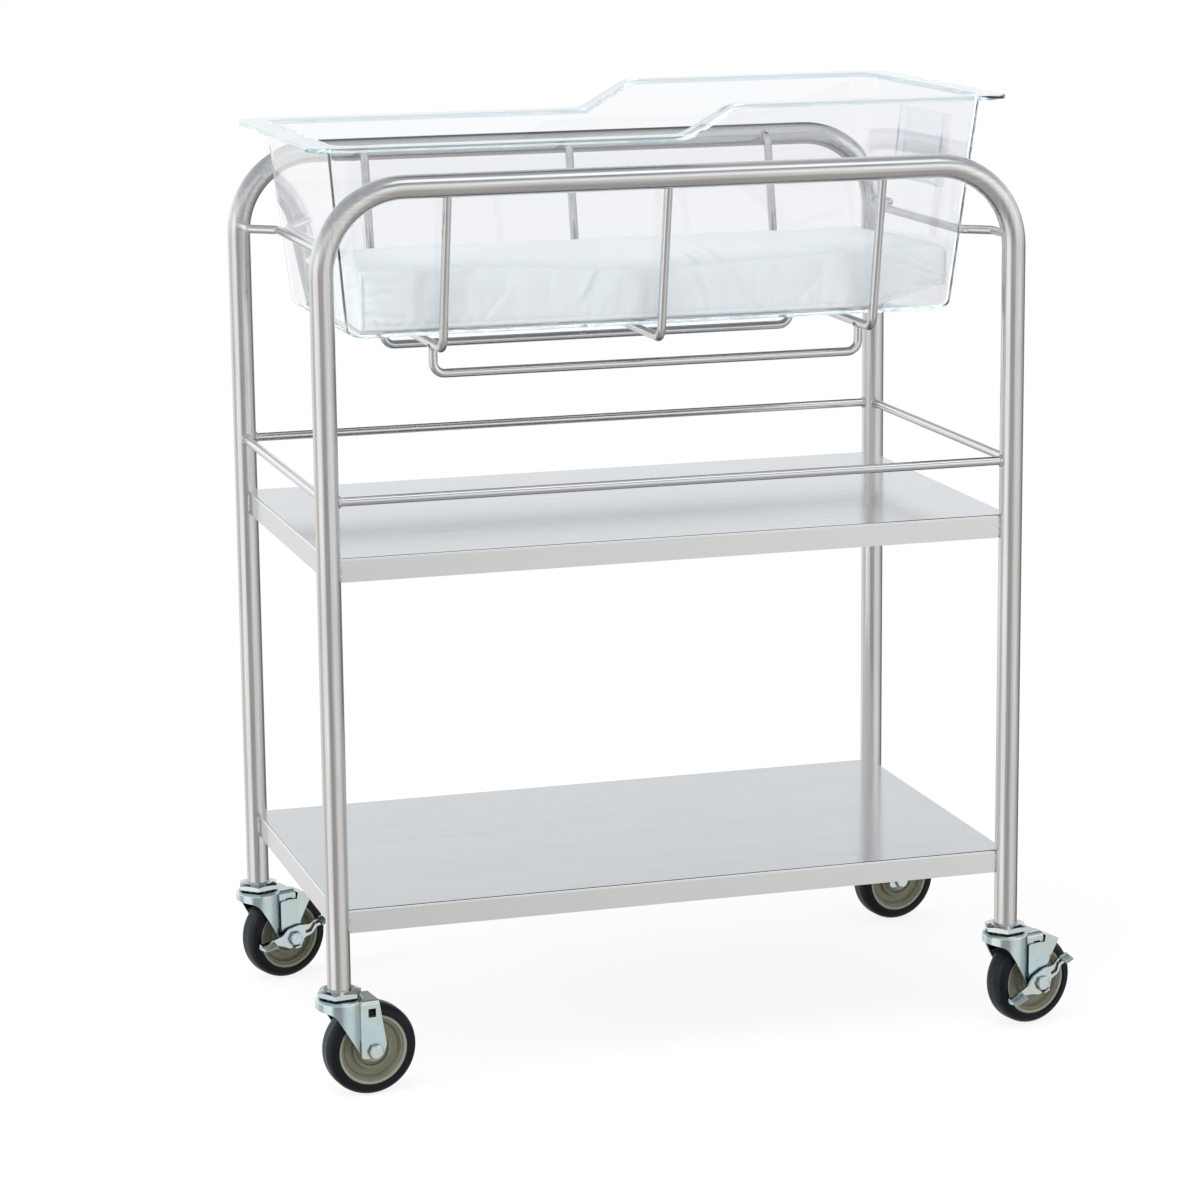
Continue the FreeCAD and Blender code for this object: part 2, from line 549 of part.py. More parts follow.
def brake_lever(code):
    """Rocker on the axle bolt: a boss, two arms with turned-out toe pads, and a curved slot in the upper arm."""
    inner, outer = -LEVER_Y, -LEVER_Y - LEVER_SHEET
    pad = outer - LEVER_PAD_W
    outline = [(-45.5, 5.5, 1.5), (-47, -1, 3), (-38, -6, 6), (-25, -1.5, 8), (-14, -7, 6), (-8, -11, 3), (8, -11, 3),
               (13, -3, 5), (24, -1.5, 8), (31, 5, 6), (40, 5.5, 4), (43, 15, 2), (33, 15.5, 8), (22, 10.5, 8),
               (8, 13.5, 8), (-7, 12.5, 7), (-16, 6.5, 7), (-27, 5.5, 8)]
    arm = plate(outline, outer, inner)
    slot = plate([(15, 5.2, 1.9), (15, 1.2, 1.9), (23, 1.2, 3), (29, 8.2, 3), (36, 8.7, 1.4), (36, 11.8, 1.4),
                  (27, 11.8, 4), (21, 5.2, 4)], outer - 1, inner + 1)
    arm = arm.cut(slot)
    for (x0, z0), (x1, z1) in (((-46, 3.5), (-29, 3.8)), ((42.5, 13), (32, 13.5))):
        toe = plate([(x0, z0, 0), (x1, z1, 0), (x1, z1 + LEVER_PAD_T, 0), (x0, z0 + LEVER_PAD_T, 0)], pad, outer + 1)
        arm = arm.fuse(toe.rotated(V(0, outer, z0), V(1, 0, 0), LEVER_PAD_TILT))
    tab = plate([(-3, -11.5, 0), (5, -11.5, 0), (5, -9.5, 0), (-3, -9.5, 0)], outer - 4, outer)
    boss = drill(LEVER_BOSS_D / 2, 0, 0, inner, inner + LEVER_STANDOFF)
    arm = arm.fuse(tab).fuse(boss)
    arm = arm.cut(drill(AXLE_R + RUNNING_FIT, 0, 0, outer - 1, inner + LEVER_STANDOFF + 1))
    arm = arm.rotated(V(0, 0, 0), V(0, 1, 0), -BRAKED[code])
    return arm.translated(V(TRAIL, 0, WHEEL_R))


def caster(code):
    """All the pieces of one caster, turned to its yaw and set under its leg."""
    pieces = {
        "caster_stem": caster_stem(),
        "stem_expander": stem_expander(),
        "race_ring": race_ring(),
        "caster_fork": fork(),
        "axle_bolt": axle_bolt(code),
        "axle_nut": axle_nut(),
        "bearing_sleeve": bearing_sleeve(),
        "wheel_hub": wheel_hub(),
        "tyre": tyre(),
    }
    if code in BRAKED:
        pieces["brake_plate"] = brake_plate()
        pieces["brake_lever"] = brake_lever(code)
    x = LEG_X if code[1] == "r" else -LEG_X
    y = LEG_Y if code[0] == "r" else -LEG_Y
    return {"%s_%s" % (name, code): shape.rotated(V(0, 0, 0), V(0, 0, 1), CASTER_YAW[code]).translated(V(x, y, 0))
            for name, shape in pieces.items()}


# ---- the whole ---------------------------------------------------------------------------------------
SIDES = solid_sides()

nodes = {
    "side_frame_front": side_frame(-1),
    "side_frame_rear": side_frame(1),
    "shelf_upper": shelf(UPPER_SHELF_Z),
    "shelf_lower": shelf(LOWER_SHELF_Z),
    "guard_rod_front": guard_rod(V(-LEG_X, -LEG_Y, GUARD_Z), V(LEG_X, -LEG_Y, GUARD_Z)),
    "guard_rod_rear": guard_rod(V(-LEG_X, LEG_Y, GUARD_Z), V(LEG_X, LEG_Y, GUARD_Z)),
    "guard_rod_foot": guard_rod(V(-LEG_X, -LEG_Y, GUARD_Z), V(-LEG_X, LEG_Y, GUARD_Z)),
    "guard_rod_head": guard_rod(V(LEG_X, -LEG_Y, GUARD_Z), V(LEG_X, LEG_Y, GUARD_Z)),
    "hoop_foot": hoop(-HOOP_PITCH),
    "hoop_middle": hoop(0),
    "hoop_head": hoop(HOOP_PITCH),
    "support_bar_front": support_bar(-BAR_HALF_PITCH),
    "support_bar_rear": support_bar(BAR_HALF_PITCH),
    "end_rod_foot": end_rod(-1),
    "end_rod_head": end_rod(1),
    "tub": tub(),
    "card_pocket": card_pocket(),
    "mattress": mattress(),
}
for corner in CASTER_YAW:
    nodes.update(caster(corner))

os.makedirs("parts", exist_ok=True)
for name, shape in nodes.items():
    solid = shape.Solids[0] if len(shape.Solids) == 1 else shape
    if not solid.isValid() or len(shape.Solids) != 1:
        print("check", name, len(shape.Solids), solid.isValid())
    solid.exportStep("parts/%s.step" % name)
print(len(nodes), "pieces")
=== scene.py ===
"""Looks of the hospital bassinet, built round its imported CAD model.

Metres, with +Z up and +X to the head end.
"""

import bpy
import bmesh
import math
import numpy as np
from mathutils import Matrix, Vector, noise
from mathutils.bvhtree import BVHTree


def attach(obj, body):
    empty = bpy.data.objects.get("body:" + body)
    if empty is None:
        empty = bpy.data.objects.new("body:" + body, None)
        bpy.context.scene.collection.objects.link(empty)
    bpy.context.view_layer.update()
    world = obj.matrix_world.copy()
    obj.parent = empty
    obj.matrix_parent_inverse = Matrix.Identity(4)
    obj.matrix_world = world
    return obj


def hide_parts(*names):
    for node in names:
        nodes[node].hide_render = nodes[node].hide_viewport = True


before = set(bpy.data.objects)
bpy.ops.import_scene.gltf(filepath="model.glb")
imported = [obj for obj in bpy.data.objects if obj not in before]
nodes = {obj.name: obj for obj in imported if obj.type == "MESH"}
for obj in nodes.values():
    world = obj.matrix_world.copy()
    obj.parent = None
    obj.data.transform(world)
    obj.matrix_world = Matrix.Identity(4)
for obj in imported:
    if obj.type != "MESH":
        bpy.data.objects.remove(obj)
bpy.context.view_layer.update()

# ---- sizes shared with the CAD model, in metres --------------------------------------
TUBE_R = 0.0127                        # legs and top rails
ROD_R = 0.0047625
LEG_X, LEG_Y = 0.381, 0.21465          # middles of the legs
RAIL_Z = 0.9675                        # middles of the top rails, guard rods and end rods
GUARD_Z = 0.6443
END_ROD_Z = 0.889
END_ROD_IN = 0.0006                    # end rods, inwards of the legs
HOOP_Z = 0.7895                        # flat runs of the hoops
HOOP_X = (-0.240, 0.0, 0.240)
BAR_Y = 0.114                          # support bars
SHELF_TOPS = (0.2045, 0.5843)
SKIRT = 0.0254                         # depth of the shelves
WHEEL_R = 0.0508
TRAIL = 0.032                          # kingpin to axle
CASTER_YAW = {"fl": 7.3, "fr": 14.6, "rl": 19.0, "rr": 9.5}     # degrees
BRAKE_LEAN = {"fr": 22.0, "rl": 7.0}
CORNER = {"fl": (-LEG_X, -LEG_Y), "fr": (LEG_X, -LEG_Y),
          "rl": (-LEG_X, LEG_Y), "rr": (LEG_X, LEG_Y)}
MATTRESS_FOOT = 0.8078                 # underside of the mattress
TUB_HALF_X, TUB_HALF_Y = 0.338, 0.1564  # outside of the tub, at its floor
TUB_TAPER = math.radians(5.88)
RIM_LOW_Z = 1.0077                     # top of the tub's rim at its foot end
RIM_RISE = 0.031                       # its step up to the head end, between these X
RIM_STEP_X = (0.017, 0.072)
UP, DOWN = (0, 0, 1), (0, 0, -1)


# ---- helpers -------------------------------------------------------------------------
class Tree:
    """A node tree with short calls to add and link nodes."""

    def __init__(self, tree):
        self.tree = tree
        tree.nodes.clear()

    def add(self, kind, values=None, **settings):
        node = self.tree.nodes.new("ShaderNode" + kind)
        for name, value in settings.items():
            setattr(node, name, value)
        for name, value in (values or {}).items():
            socket = node.inputs[name]
            if isinstance(value, bpy.types.NodeSocket):
                self.tree.links.new(value, socket)
            else:
                socket.default_value = value
        return node

    def math(self, operation, a, b=0.0, clamp=False):
        node = self.add("Math", {0: a, 1: b}, operation=operation, use_clamp=clamp)
        return node.outputs[0]

    def waves(self, value, pitch):
        return self.math("SINE", self.math("MULTIPLY", value, 2 * math.pi / pitch))

    def ramp(self, fac, stops):
        node = self.add("ValToRGB", {"Fac": fac})
        ramp = node.color_ramp
        while len(ramp.elements) < len(stops):
            ramp.elements.new(0.5)
        for element, (place, colour) in zip(ramp.elements, stops):
            element.position = place
            element.color = (*colour, 1)
        return node.outputs["Color"]

    def between(self, value, low, high, to_low=0.0, to_high=1.0, smooth=True):
        node = self.add("MapRange", {"Value": value, "From Min": low, "From Max": high,
                                     "To Min": to_low, "To Max": to_high})
        node.interpolation_type = "SMOOTHSTEP" if smooth else "LINEAR"
        return node.outputs[0]

    def mix(self, fac, a, b, blend="MIX"):
        node = self.add("Mix", data_type="RGBA", blend_type=blend)
        for name, value in ((0, fac), (6, a), (7, b)):
            if isinstance(value, bpy.types.NodeSocket):
                self.tree.links.new(value, node.inputs[name])
            elif name:
                node.inputs[name].default_value = (*value, 1)
            else:
                node.inputs[name].default_value = value
        return node.outputs[2]

    def noise(self, vector, scale, detail, roughness):
        node = self.add("TexNoise", {"Vector": vector, "Scale": scale, "Detail": detail,
                                     "Roughness": roughness})
        return node.outputs["Fac"]

    def stretched(self, vector, scale):
        return self.add("Mapping", {"Vector": vector, "Scale": scale}).outputs[0]

    def bump(self, height, distance, strength, normal=None):
        values = {"Height": height, "Distance": distance, "Strength": strength}
        if normal is not None:
            values["Normal"] = normal
        return self.add("Bump", values).outputs[0]


def material(name):
    made = bpy.data.materials.new(name)
    made.use_nodes = True
    return made, Tree(made.node_tree)


def finish_surface(tree, shader, volume=None):
    out = tree.add("OutputMaterial")
    tree.tree.links.new(shader, out.inputs["Surface"])
    if volume is not None:
        tree.tree.links.new(volume, out.inputs["Volume"])


def with_principled(made, tree, tone, roughness, normal, more=None):
    """Ends a material with one Principled surface, and returns it."""
    bsdf = tree.add("BsdfPrincipled", {"Base Color": tone, "Roughness": roughness,
                                       "Normal": normal, **(more or {})})
    finish_surface(tree, bsdf.outputs[0])
    return made


def object_place(tree):
    return tree.add("TexCoord").outputs["Object"]


# ---- materials -----------------------------------------------------------------------
METAL = {"Metallic": 1.0}
ACROSS_GRAIN, ALONG_GRAIN = 420.0, 7.0     # noise scales of the scratches in satin steel


def brushed(name, colour, rough, along, grain=0.00001, fine=1.0, smear=0.12, mottle=0.04,
            vary=0.045):
    """Satin stainless: fine scratches drawn out along an axis, with slow patches in its colour
    and roughness."""
    made, t = material(name)
    place = object_place(t)
    stretch = [ACROSS_GRAIN * fine] * 3
    stretch["xyz".index(along)] = ALONG_GRAIN
    scratch = t.noise(t.stretched(place, stretch), 1.0, 4.0, 0.65)
    broad = [60.0] * 3
    broad["xyz".index(along)] = 1.5
    streak = t.noise(t.stretched(place, broad), 1.0, 3.0, 0.6)
    patch = t.noise(place, 6.0, 3.0, 0.55)
    tone = t.mix(t.between(scratch, 0.3, 0.7), [c * (1 - smear / 2) for c in colour],
                 [min(c * (1 + smear / 2), 1.0) for c in colour])
    tone = t.mix(t.between(patch, 0.35, 0.7, 0.0, mottle * 4), tone, [c * 0.86 for c in colour])
    roughness = t.math("ADD", t.between(streak, 0.25, 0.75, rough - vary, rough + vary),
                       t.between(scratch, 0.3, 0.7, -0.03, 0.03))
    return with_principled(made, t, tone, roughness, t.bump(scratch, grain, 0.6), METAL)


def frame_steel():
    """Tube of the side frames: the grain runs up the legs and along the top rails."""
    made, t = material("frame_steel")
    place = object_place(t)
    up_legs = t.stretched(place, (ACROSS_GRAIN, ACROSS_GRAIN, ALONG_GRAIN))
    along_rails = t.stretched(place, (ALONG_GRAIN, ACROSS_GRAIN, ACROSS_GRAIN))
    up = t.noise(up_legs, 1.0, 4.0, 0.65)
    level = t.noise(along_rails, 1.0, 4.0, 0.65)
    z = t.add("SeparateXYZ", {0: place}).outputs["Z"]
    turn = t.between(z, RAIL_Z - 0.05, RAIL_Z - 0.02)      # within the bends
    scratch = t.add("Mix", {0: turn, 2: up, 3: level}).outputs[0]
    patch = t.noise(place, 5.0, 3.0, 0.55)
    tone = t.mix(t.between(scratch, 0.3, 0.7), (0.55, 0.545, 0.54), (0.665, 0.66, 0.655))
    tone = t.mix(t.between(patch, 0.4, 0.75, 0.0, 0.2), tone, (0.50, 0.495, 0.49))
    roughness = t.math("ADD", t.between(patch, 0.3, 0.7, 0.17, 0.23),
                       t.between(scratch, 0.3, 0.7, -0.03, 0.03))
    return with_principled(made, t, tone, roughness, t.bump(scratch, 0.00002, 0.6), METAL)


def zinc(name, colour, rough, stain):
    """Bright zinc plate: blue-white with a straw tinge, cloudy, with rubbed patches and with
    painted shade in its corners and the gaps between parts."""
    made, t = material(name)
    place = object_place(t)
    cloud = t.noise(place, 55.0, 4.0, 0.6)
    fine = t.noise(place, 420.0, 3.0, 0.6)
    wear = t.noise(place, 24.0, 5.0, 0.65)
    tone = t.mix(t.between(cloud, 0.35, 0.7), colour, [min(c * 1.12, 0.95) for c in colour])
    rubbed = [c * f for c, f in zip(colour, (0.66, 0.70, 0.72))]
    tone = t.mix(t.between(wear, 0.55, 0.75, 0.0, stain), tone, rubbed)
    tinge = t.noise(place, 34.0, 2.0, 0.5)
    straw = [c * f for c, f in zip(colour, (1.14, 1.01, 0.88))]
    tone = t.mix(t.between(tinge, 0.42, 0.62, 0.0, 0.75), tone, straw)
    # painted shade: the tone darkens where other surfaces come close, in corners and gaps
    painted_crevice_shade = t.add("AmbientOcclusion", {"Distance": 0.0035}, samples=6).outputs["AO"]
    tone = t.mix(t.between(painted_crevice_shade, 0.45, 0.95, 0.75, 0.0), tone, (0.045, 0.055, 0.062))
    roughness = t.math("ADD", t.between(cloud, 0.3, 0.7, rough - 0.03, rough + 0.04),
                       t.between(fine, 0.35, 0.65, -0.01, 0.02))
    bumped = t.bump(cloud, 0.0002, 0.35)
    bumped = t.bump(fine, 0.00003, 0.4, bumped)
    return with_principled(made, t, tone, roughness, bumped, METAL)


def clear_plastic(name, ior):
    """Clear moulded acrylic: faint blue in its thickness and rim, with light scuffs. Its gloss is
    in the coat, so that the parallel walls hardly bend what is behind them, and the lamps reach
    what is inside it."""
    made, t = material(name)
    place = object_place(t)
    ripple = t.noise(place, 9.0, 2.0, 0.5)
    scuff = t.noise(t.stretched(place, (40, 260, 260)), 1.0, 5.0, 0.7)
    roughness = t.between(scuff, 0.55, 0.8, 0.01, 0.04)
    axes = t.add("SeparateXYZ", {0: place})
    rim_z = t.between(axes.outputs["X"], *RIM_STEP_X, RIM_LOW_Z, RIM_LOW_Z + RIM_RISE, smooth=False)
    rim = t.between(t.math("SUBTRACT", axes.outputs["Z"], rim_z), -0.0065, -0.0040)
    tone = t.mix(rim, (0.940, 0.947, 0.960), (0.675, 0.745, 0.785))
    bsdf = t.add("BsdfPrincipled", {"Base Color": tone, "Roughness": roughness, "IOR": ior,
                                    "Transmission Weight": 1.0, "Coat Weight": 1.0,
                                    "Coat IOR": 1.5, "Coat Roughness": 0.02,
                                    "Normal": t.bump(ripple, 0.0006, 0.25)})
    through = t.add("BsdfTransparent", {"Color": (0.97, 0.98, 0.99, 1)})
    lamp = t.add("LightPath").outputs["Is Shadow Ray"]
    mixed = t.add("MixShader", {0: lamp, 1: bsdf.outputs[0], 2: through.outputs[0]})
    volume = t.add("VolumeAbsorption", {"Color": (0.45, 0.80, 0.95, 1), "Density": 1.0})
    finish_surface(t, mixed.outputs[0], volume.outputs[0])
    return made


def vinyl(name, colour):
    """Pale coated ticking: a very fine grain under a soft sheen, with slow changes of tone."""
    made, t = material(name)
    place = object_place(t)
    grain = t.noise(place, 1500.0, 3.0, 0.6)
    cloth = t.noise(place, 130.0, 4.0, 0.6)
    slow = t.noise(place, 11.0, 3.0, 0.5)
    tone = t.mix(t.between(slow, 0.3, 0.7), [c * 0.975 for c in colour],
                 [min(c * 1.015, 1) for c in colour])
    tone = t.mix(t.between(cloth, 0.4, 0.7, 0.0, 0.3), tone, [c * 0.965 for c in colour])
    bumped = t.bump(cloth, 0.0006, 0.35)
    bumped = t.bump(grain, 0.00006, 0.5, bumped)
    return with_principled(made, t, tone, t.between(grain, 0.3, 0.7, 0.40, 0.52), bumped,
                           {"Sheen Weight": 0.06, "Specular IOR Level": 0.42})


def axle_of(code):
    """A point on the caster's axle and its direction, at rest."""
    a = math.radians(CASTER_YAW[code])
    x, y = CORNER[code]
    point = Vector((x + TRAIL * math.cos(a), y + TRAIL * math.sin(a), WHEEL_R))
    return point, Vector((-math.sin(a), math.cos(a), 0))


def wheel_place(t, code):
    """The place, and its distances from the axle and along it, for rings and ridges."""
    point, axis = (tuple(v) for v in axle_of(code))
    place = object_place(t)
    offset = t.add("VectorMath", {0: place, 1: point}, operation="SUBTRACT").outputs[0]
    along = t.add("VectorMath", {0: offset, 1: axis}, operation="DOT_PRODUCT").outputs["Value"]
    cross = t.add("VectorMath", {0: offset, 1: axis}, operation="CROSS_PRODUCT").outputs[0]
    out = t.add("VectorMath", {0: cross}, operation="LENGTH").outputs["Value"]
    return place, out, along


def tread(code):
    """Dark grey solid tread: fine mould ridges round it, dust and a painted highlight on its
    running face.
    """
    made, t = material("tread_" + code)
    place, out, along = wheel_place(t, code)
    ridge = t.waves(along, 0.0021)
    rings = t.waves(out, 0.0026)
    grain = t.noise(place, 700.0, 4.0, 0.65)
    dust = t.noise(place, 60.0, 5.0, 0.65)
    running = t.between(out, WHEEL_R - 0.0035, WHEEL_R - 0.0008)
    tone = t.mix(t.between(grain, 0.3, 0.7), (0.004, 0.006, 0.008), (0.009, 0.012, 0.015))
    # lighter running face: partly dust, partly a painted highlight for the tread's rounded shoulder
    dust_and_highlight = t.math("MULTIPLY", running, t.between(dust, 0.4, 0.75, 0.10, 0.40))
    tone = t.mix(dust_and_highlight, tone, (0.062, 0.080, 0.090))
    side = t.between(out, WHEEL_R - 0.006, WHEEL_R - 0.002, 1.0, 0.0)
    height = t.add("Mix", {0: side, 2: ridge, 3: rings}).outputs[0]
    bumped = t.bump(height, 0.00006, 0.7)
    bumped = t.bump(grain, 0.00005, 0.5, bumped)
    return with_principled(made, t, tone, t.between(dust, 0.3, 0.7, 0.26, 0.38), bumped,
                           {"Specular IOR Level": 0.14})


HUB_RIM, HUB_BOSS = (0.0345, 0.0362), (0.0155, 0.0125)     # radii, from plain tone to a paler one


def hub_plastic(code):
    """Grey-green moulded hub: fine turning lines, a paler rim and a paler boss."""
    made, t = material("hub_" + code)
    place, out, _ = wheel_place(t, code)
    rings = t.waves(out, 0.0012)
    grain = t.noise(place, 500.0, 4.0, 0.6)
    cloud = t.noise(place, 70.0, 4.0, 0.6)
    tone = t.mix(t.between(cloud, 0.3, 0.7), (0.180, 0.182, 0.122), (0.222, 0.225, 0.155))
    tone = t.mix(t.between(out, *HUB_RIM, 0.0, 0.85), tone, (0.45, 0.45, 0.39))
    tone = t.mix(t.between(out, *HUB_BOSS, 0.0, 0.8), tone, (0.40, 0.40, 0.33))
    bumped = t.bump(rings, 0.00003, 0.5)
    bumped = t.bump(grain, 0.00006, 0.5, bumped)
    return with_principled(made, t, tone, t.between(grain, 0.3, 0.7, 0.36, 0.50), bumped)


def dark_steel():
    """Hardened race rings: dark, cloudy, half matt."""
    made, t = material("race_steel")
    place = object_place(t)
    cloud = t.noise(place, 180.0, 4.0, 0.6)
    tone = t.mix(t.between(cloud, 0.35, 0.7), (0.035, 0.037, 0.042), (0.085, 0.088, 0.095))
    return with_principled(made, t, tone, t.between(cloud, 0.3, 0.7, 0.3, 0.5),
                           t.bump(cloud, 0.00008, 0.5), {"Metallic": 0.8})


def black_rubber():
    """Rubber of the expanders inside the legs."""
    made, t = material("black_rubber")
    grain = t.noise(object_place(t), 600.0, 4.0, 0.6)
    tone = t.mix(grain, (0.02, 0.02, 0.02), (0.05, 0.05, 0.05))
    return with_principled(made, t, tone, 0.6, t.bump(grain, 0.00006, 0.5))


def weld_metal():
    """Weld metal: rippled, a little brighter, with straw-coloured heat tint at its foot."""
    made, t = material("weld_metal")
    place = object_place(t)
    ripple = t.noise(place, 900.0, 3.0, 0.6)
    tint = t.noise(place, 240.0, 3.0, 0.6)
    tone = t.mix(t.between(tint, 0.45, 0.75, 0.0, 0.6), (0.66, 0.655, 0.65), (0.50, 0.47, 0.42))
    return with_principled(made, t, tone, t.between(ripple, 0.3, 0.7, 0.20, 0.34),
                           t.bump(ripple, 0.0002, 0.6), METAL)


def thread():
    """Sewing thread of the hem."""
    made, t = material("thread")
    twist = t.noise(t.stretched(object_place(t), (900, 2600, 2600)), 1.0, 3.0, 0.6)
    tone = t.mix(twist, (0.66, 0.71, 0.74), (0.80, 0.84, 0.86))
    return with_principled(made, t, tone, 0.7, t.bump(twist, 0.0001, 0.6))


STEEL = frame_steel()
ROD = {axis: brushed("rod_steel_" + axis, tone, rough, axis, smear=0.08, vary=0.02)
       for axis, tone, rough in (("x", (0.62, 0.62, 0.625), 0.15), ("y", (0.62, 0.62, 0.625), 0.15),
                                 ("z", (0.62, 0.62, 0.63), 0.08))}
SHELF = brushed("shelf_steel", (0.64, 0.645, 0.65), 0.15, "x", fine=2.2, grain=0.000008,
                smear=0.05, mottle=0.010, vary=0.010)
ZINC = zinc("zinc_plate", (0.475, 0.590, 0.620), 0.13, stain=0.22)
ZINC_BRIGHT = zinc("zinc_bright", (0.52, 0.600, 0.63), 0.065, stain=0.14)
CLEAR = clear_plastic("clear_acrylic", 1.07)
CLEAR_SHEET = clear_plastic("clear_sheet", 1.05)
VINYL = vinyl("mattress_vinyl", (0.845, 0.882, 0.888))
SEAM = vinyl("seam_vinyl", (0.80, 0.83, 0.85))
RACE = dark_steel()
SLEEVE = brushed("sleeve_steel", (0.5, 0.5, 0.5), 0.28, "y")
RUBBER = black_rubber()
WELD = weld_metal()
THREAD = thread()


# Materials by the start of a node's name: the first that fits is taken.
LOOKS = (("side_frame", STEEL), (("guard_rod_front", "guard_rod_rear", "support_bar"), ROD["x"]),
         (("guard_rod", "end_rod"), ROD["y"]), ("hoop", ROD["z"]), ("shelf", SHELF),
         ("tub", CLEAR), ("card_pocket", CLEAR_SHEET), (("caster_fork", "brake_plate"), ZINC),
         (("caster_stem", "axle", "brake_lever"), ZINC_BRIGHT), ("race_ring", RACE),
         ("bearing_sleeve", SLEEVE), ("stem_expander", RUBBER))

for name, node in nodes.items():
    if name.startswith("wheel_hub"):
        look = hub_plastic(name[-2:])
    elif name.startswith("tyre"):
        look = tread(name[-2:])
    else:
        look = next((made for start, made in LOOKS if name.startswith(start)), None)
    if look:
        for place in node.material_slots:
            place.material = look


# ---- meshes --------------------------------------------------------------------------
def mesh_object(name, verts, faces, made, body, slot):
    """A smooth piece that rides on a body, in the given material. The slot argument is not used."""
    mesh = bpy.data.meshes.new(name)
    mesh.from_pydata([tuple(v) for v in verts], [], faces)
    mesh.validate()
    bm = bmesh.new()
    bm.from_mesh(mesh)
    bmesh.ops.recalc_face_normals(bm, faces=bm.faces)
    bm.to_mesh(mesh)
    bm.free()
    mesh.polygons.foreach_set("use_smooth", [True] * len(mesh.polygons))
    mesh.materials.append(made)
    made_object = bpy.data.objects.new(name, mesh)
    bpy.context.collection.objects.link(made_object)
    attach(made_object, body)


def tube_along(points, radii, closed, sides=10):
    """Vertices and faces of a tube that follows points, with its own radius at each."""
    count = len(points)
    verts, faces = [], []
    guide = None
    for i, point in enumerate(points):
        before = points[i - 1] if closed or i else points[i]
        after = points[(i + 1) % count] if closed or i < count - 1 else points[i]
        ahead = (after - before).normalized()
        if guide is None:
            guide = ahead.orthogonal().normalized()
        guide = (guide - ahead * guide.dot(ahead)).normalized()
        across = ahead.cross(guide)
        for k in range(sides):
            turn = 2 * math.pi * k / sides
            verts.append(point + (guide * math.cos(turn) + across * math.sin(turn)) * radii[i])
    for i in range(count if closed else count - 1):
        low, high = i * sides, ((i + 1) % count) * sides
        shift = 0
        if closed and i == count - 1:
            shift = min(range(sides), key=lambda s: (verts[low] - verts[high + s]).length)
        for k in range(sides):
            faces.append((low + k, low + (k + 1) % sides,
                          high + (k + 1 + shift) % sides, high + (k + shift) % sides))
    if not closed:
        faces.append(tuple(range(sides))[::-1])
        faces.append(tuple(range((count - 1) * sides, count * sides)))
    return verts, faces


def joined(parts):
    """Several meshes as one."""
    verts, faces = [], []
    for some, more in parts:
        start = len(verts)
        verts += some
        faces += [tuple(i + start for i in face) for face in more]
    return verts, faces


def ring_weld(end, away, tube_axis, tube_r, seed, bead=0.0013):
    """A bead where a rod's end, running away from a tube, meets the tube's wall."""
    away, tube_axis = Vector(away).normalized(), Vector(tube_axis).normalized()
    u = away.orthogonal().normalized()
    v = away.cross(u)
    points, radii = [], []
    steps = 36
    for i in range(steps):
        turn = 2 * math.pi * i / steps
        radial = u * math.cos(turn) + v * math.sin(turn)
        side = radial * ROD_R
        flat = side - tube_axis * side.dot(tube_axis)
        reach = math.sqrt(max(tube_r ** 2 - (flat - away * flat.dot(away)).length ** 2, 0))
        on_wall = Vector(end) + side + away * reach
        wobble = noise.noise(Vector((math.cos(turn), math.sin(turn), seed * 1.7)) * 1.4)
        points.append(on_wall + radial * bead * 0.35 + away * bead * (0.25 + 0.5 * wobble))
        radii.append(bead * (1 + 0.16 * math.sin(turn * 9 + seed) + 0.25 * wobble))
    return tube_along(points, radii, True)


def line_weld(start, stop, seed, bead=0.0012):
    """A straight bead that tapers at both ends."""
    start, stop = Vector(start), Vector(stop)
    points, radii = [], []
    steps = 26
    for i in range(steps + 1):
        share = i / steps
        wobble = noise.noise(Vector((share * 6, seed * 3.1, 0.5)))
        points.append(start.lerp(stop, share) + Vector((wobble, -wobble, 0)) * bead * 0.2)
        taper = min(1, 6 * share + 0.3, 6 * (1 - share) + 0.3)
        radii.append(bead * (1 + 0.15 * math.sin(share * 55 + seed) + 0.3 * wobble) * taper)
    return tube_along(points, radii, False)


welds = {"guard": [], "hoop": [], "end_rod": [], "bar": [], "shelf": []}
for sx in (-1, 1):
    for sy in (-1, 1):
        leg_x, leg_y = sx * LEG_X, sy * LEG_Y
        seed = 3 * sx + sy
        along, across = (-sx, 0, 0), (0, -sy, 0)
        guard = (leg_x, leg_y, GUARD_Z)
        welds["guard"].append(ring_weld(guard, along, UP, TUBE_R, seed))
        welds["guard"].append(ring_weld(guard, across, UP, TUBE_R, seed + 11))
        end_rod = (leg_x - sx * END_ROD_IN, leg_y, END_ROD_Z)
        welds["end_rod"].append(ring_weld(end_rod, across, UP, TUBE_R, seed + 21))
        bar = (sx * HOOP_X[2], sy * BAR_Y, HOOP_Z)
        welds["bar"].append(ring_weld(bar, DOWN, (0, 1, 0), ROD_R, seed + 31, 0.0011))
        for top in SHELF_TOPS:
            for dx, dy in ((-sx, 0), (0, -sy)):
                x, y = leg_x + dx * (TUBE_R + 0.0003), leg_y + dy * (TUBE_R + 0.0003)
                foot, head = (x, y, top - SKIRT + 0.001), (x, y, top - 0.0025)
                welds["shelf"].append(line_weld(foot, head, seed + 7 * dx + 41 + top))
    for x in HOOP_X:
        rail = (x, sx * LEG_Y, RAIL_Z)
        welds["hoop"].append(ring_weld(rail, (0, -sx, 0), (1, 0, 0), TUBE_R, 51 + sx + 10 * x))
for name, parts in welds.items():
    mesh_object("welds_" + name, *joined(parts), WELD, "stand", "rod")


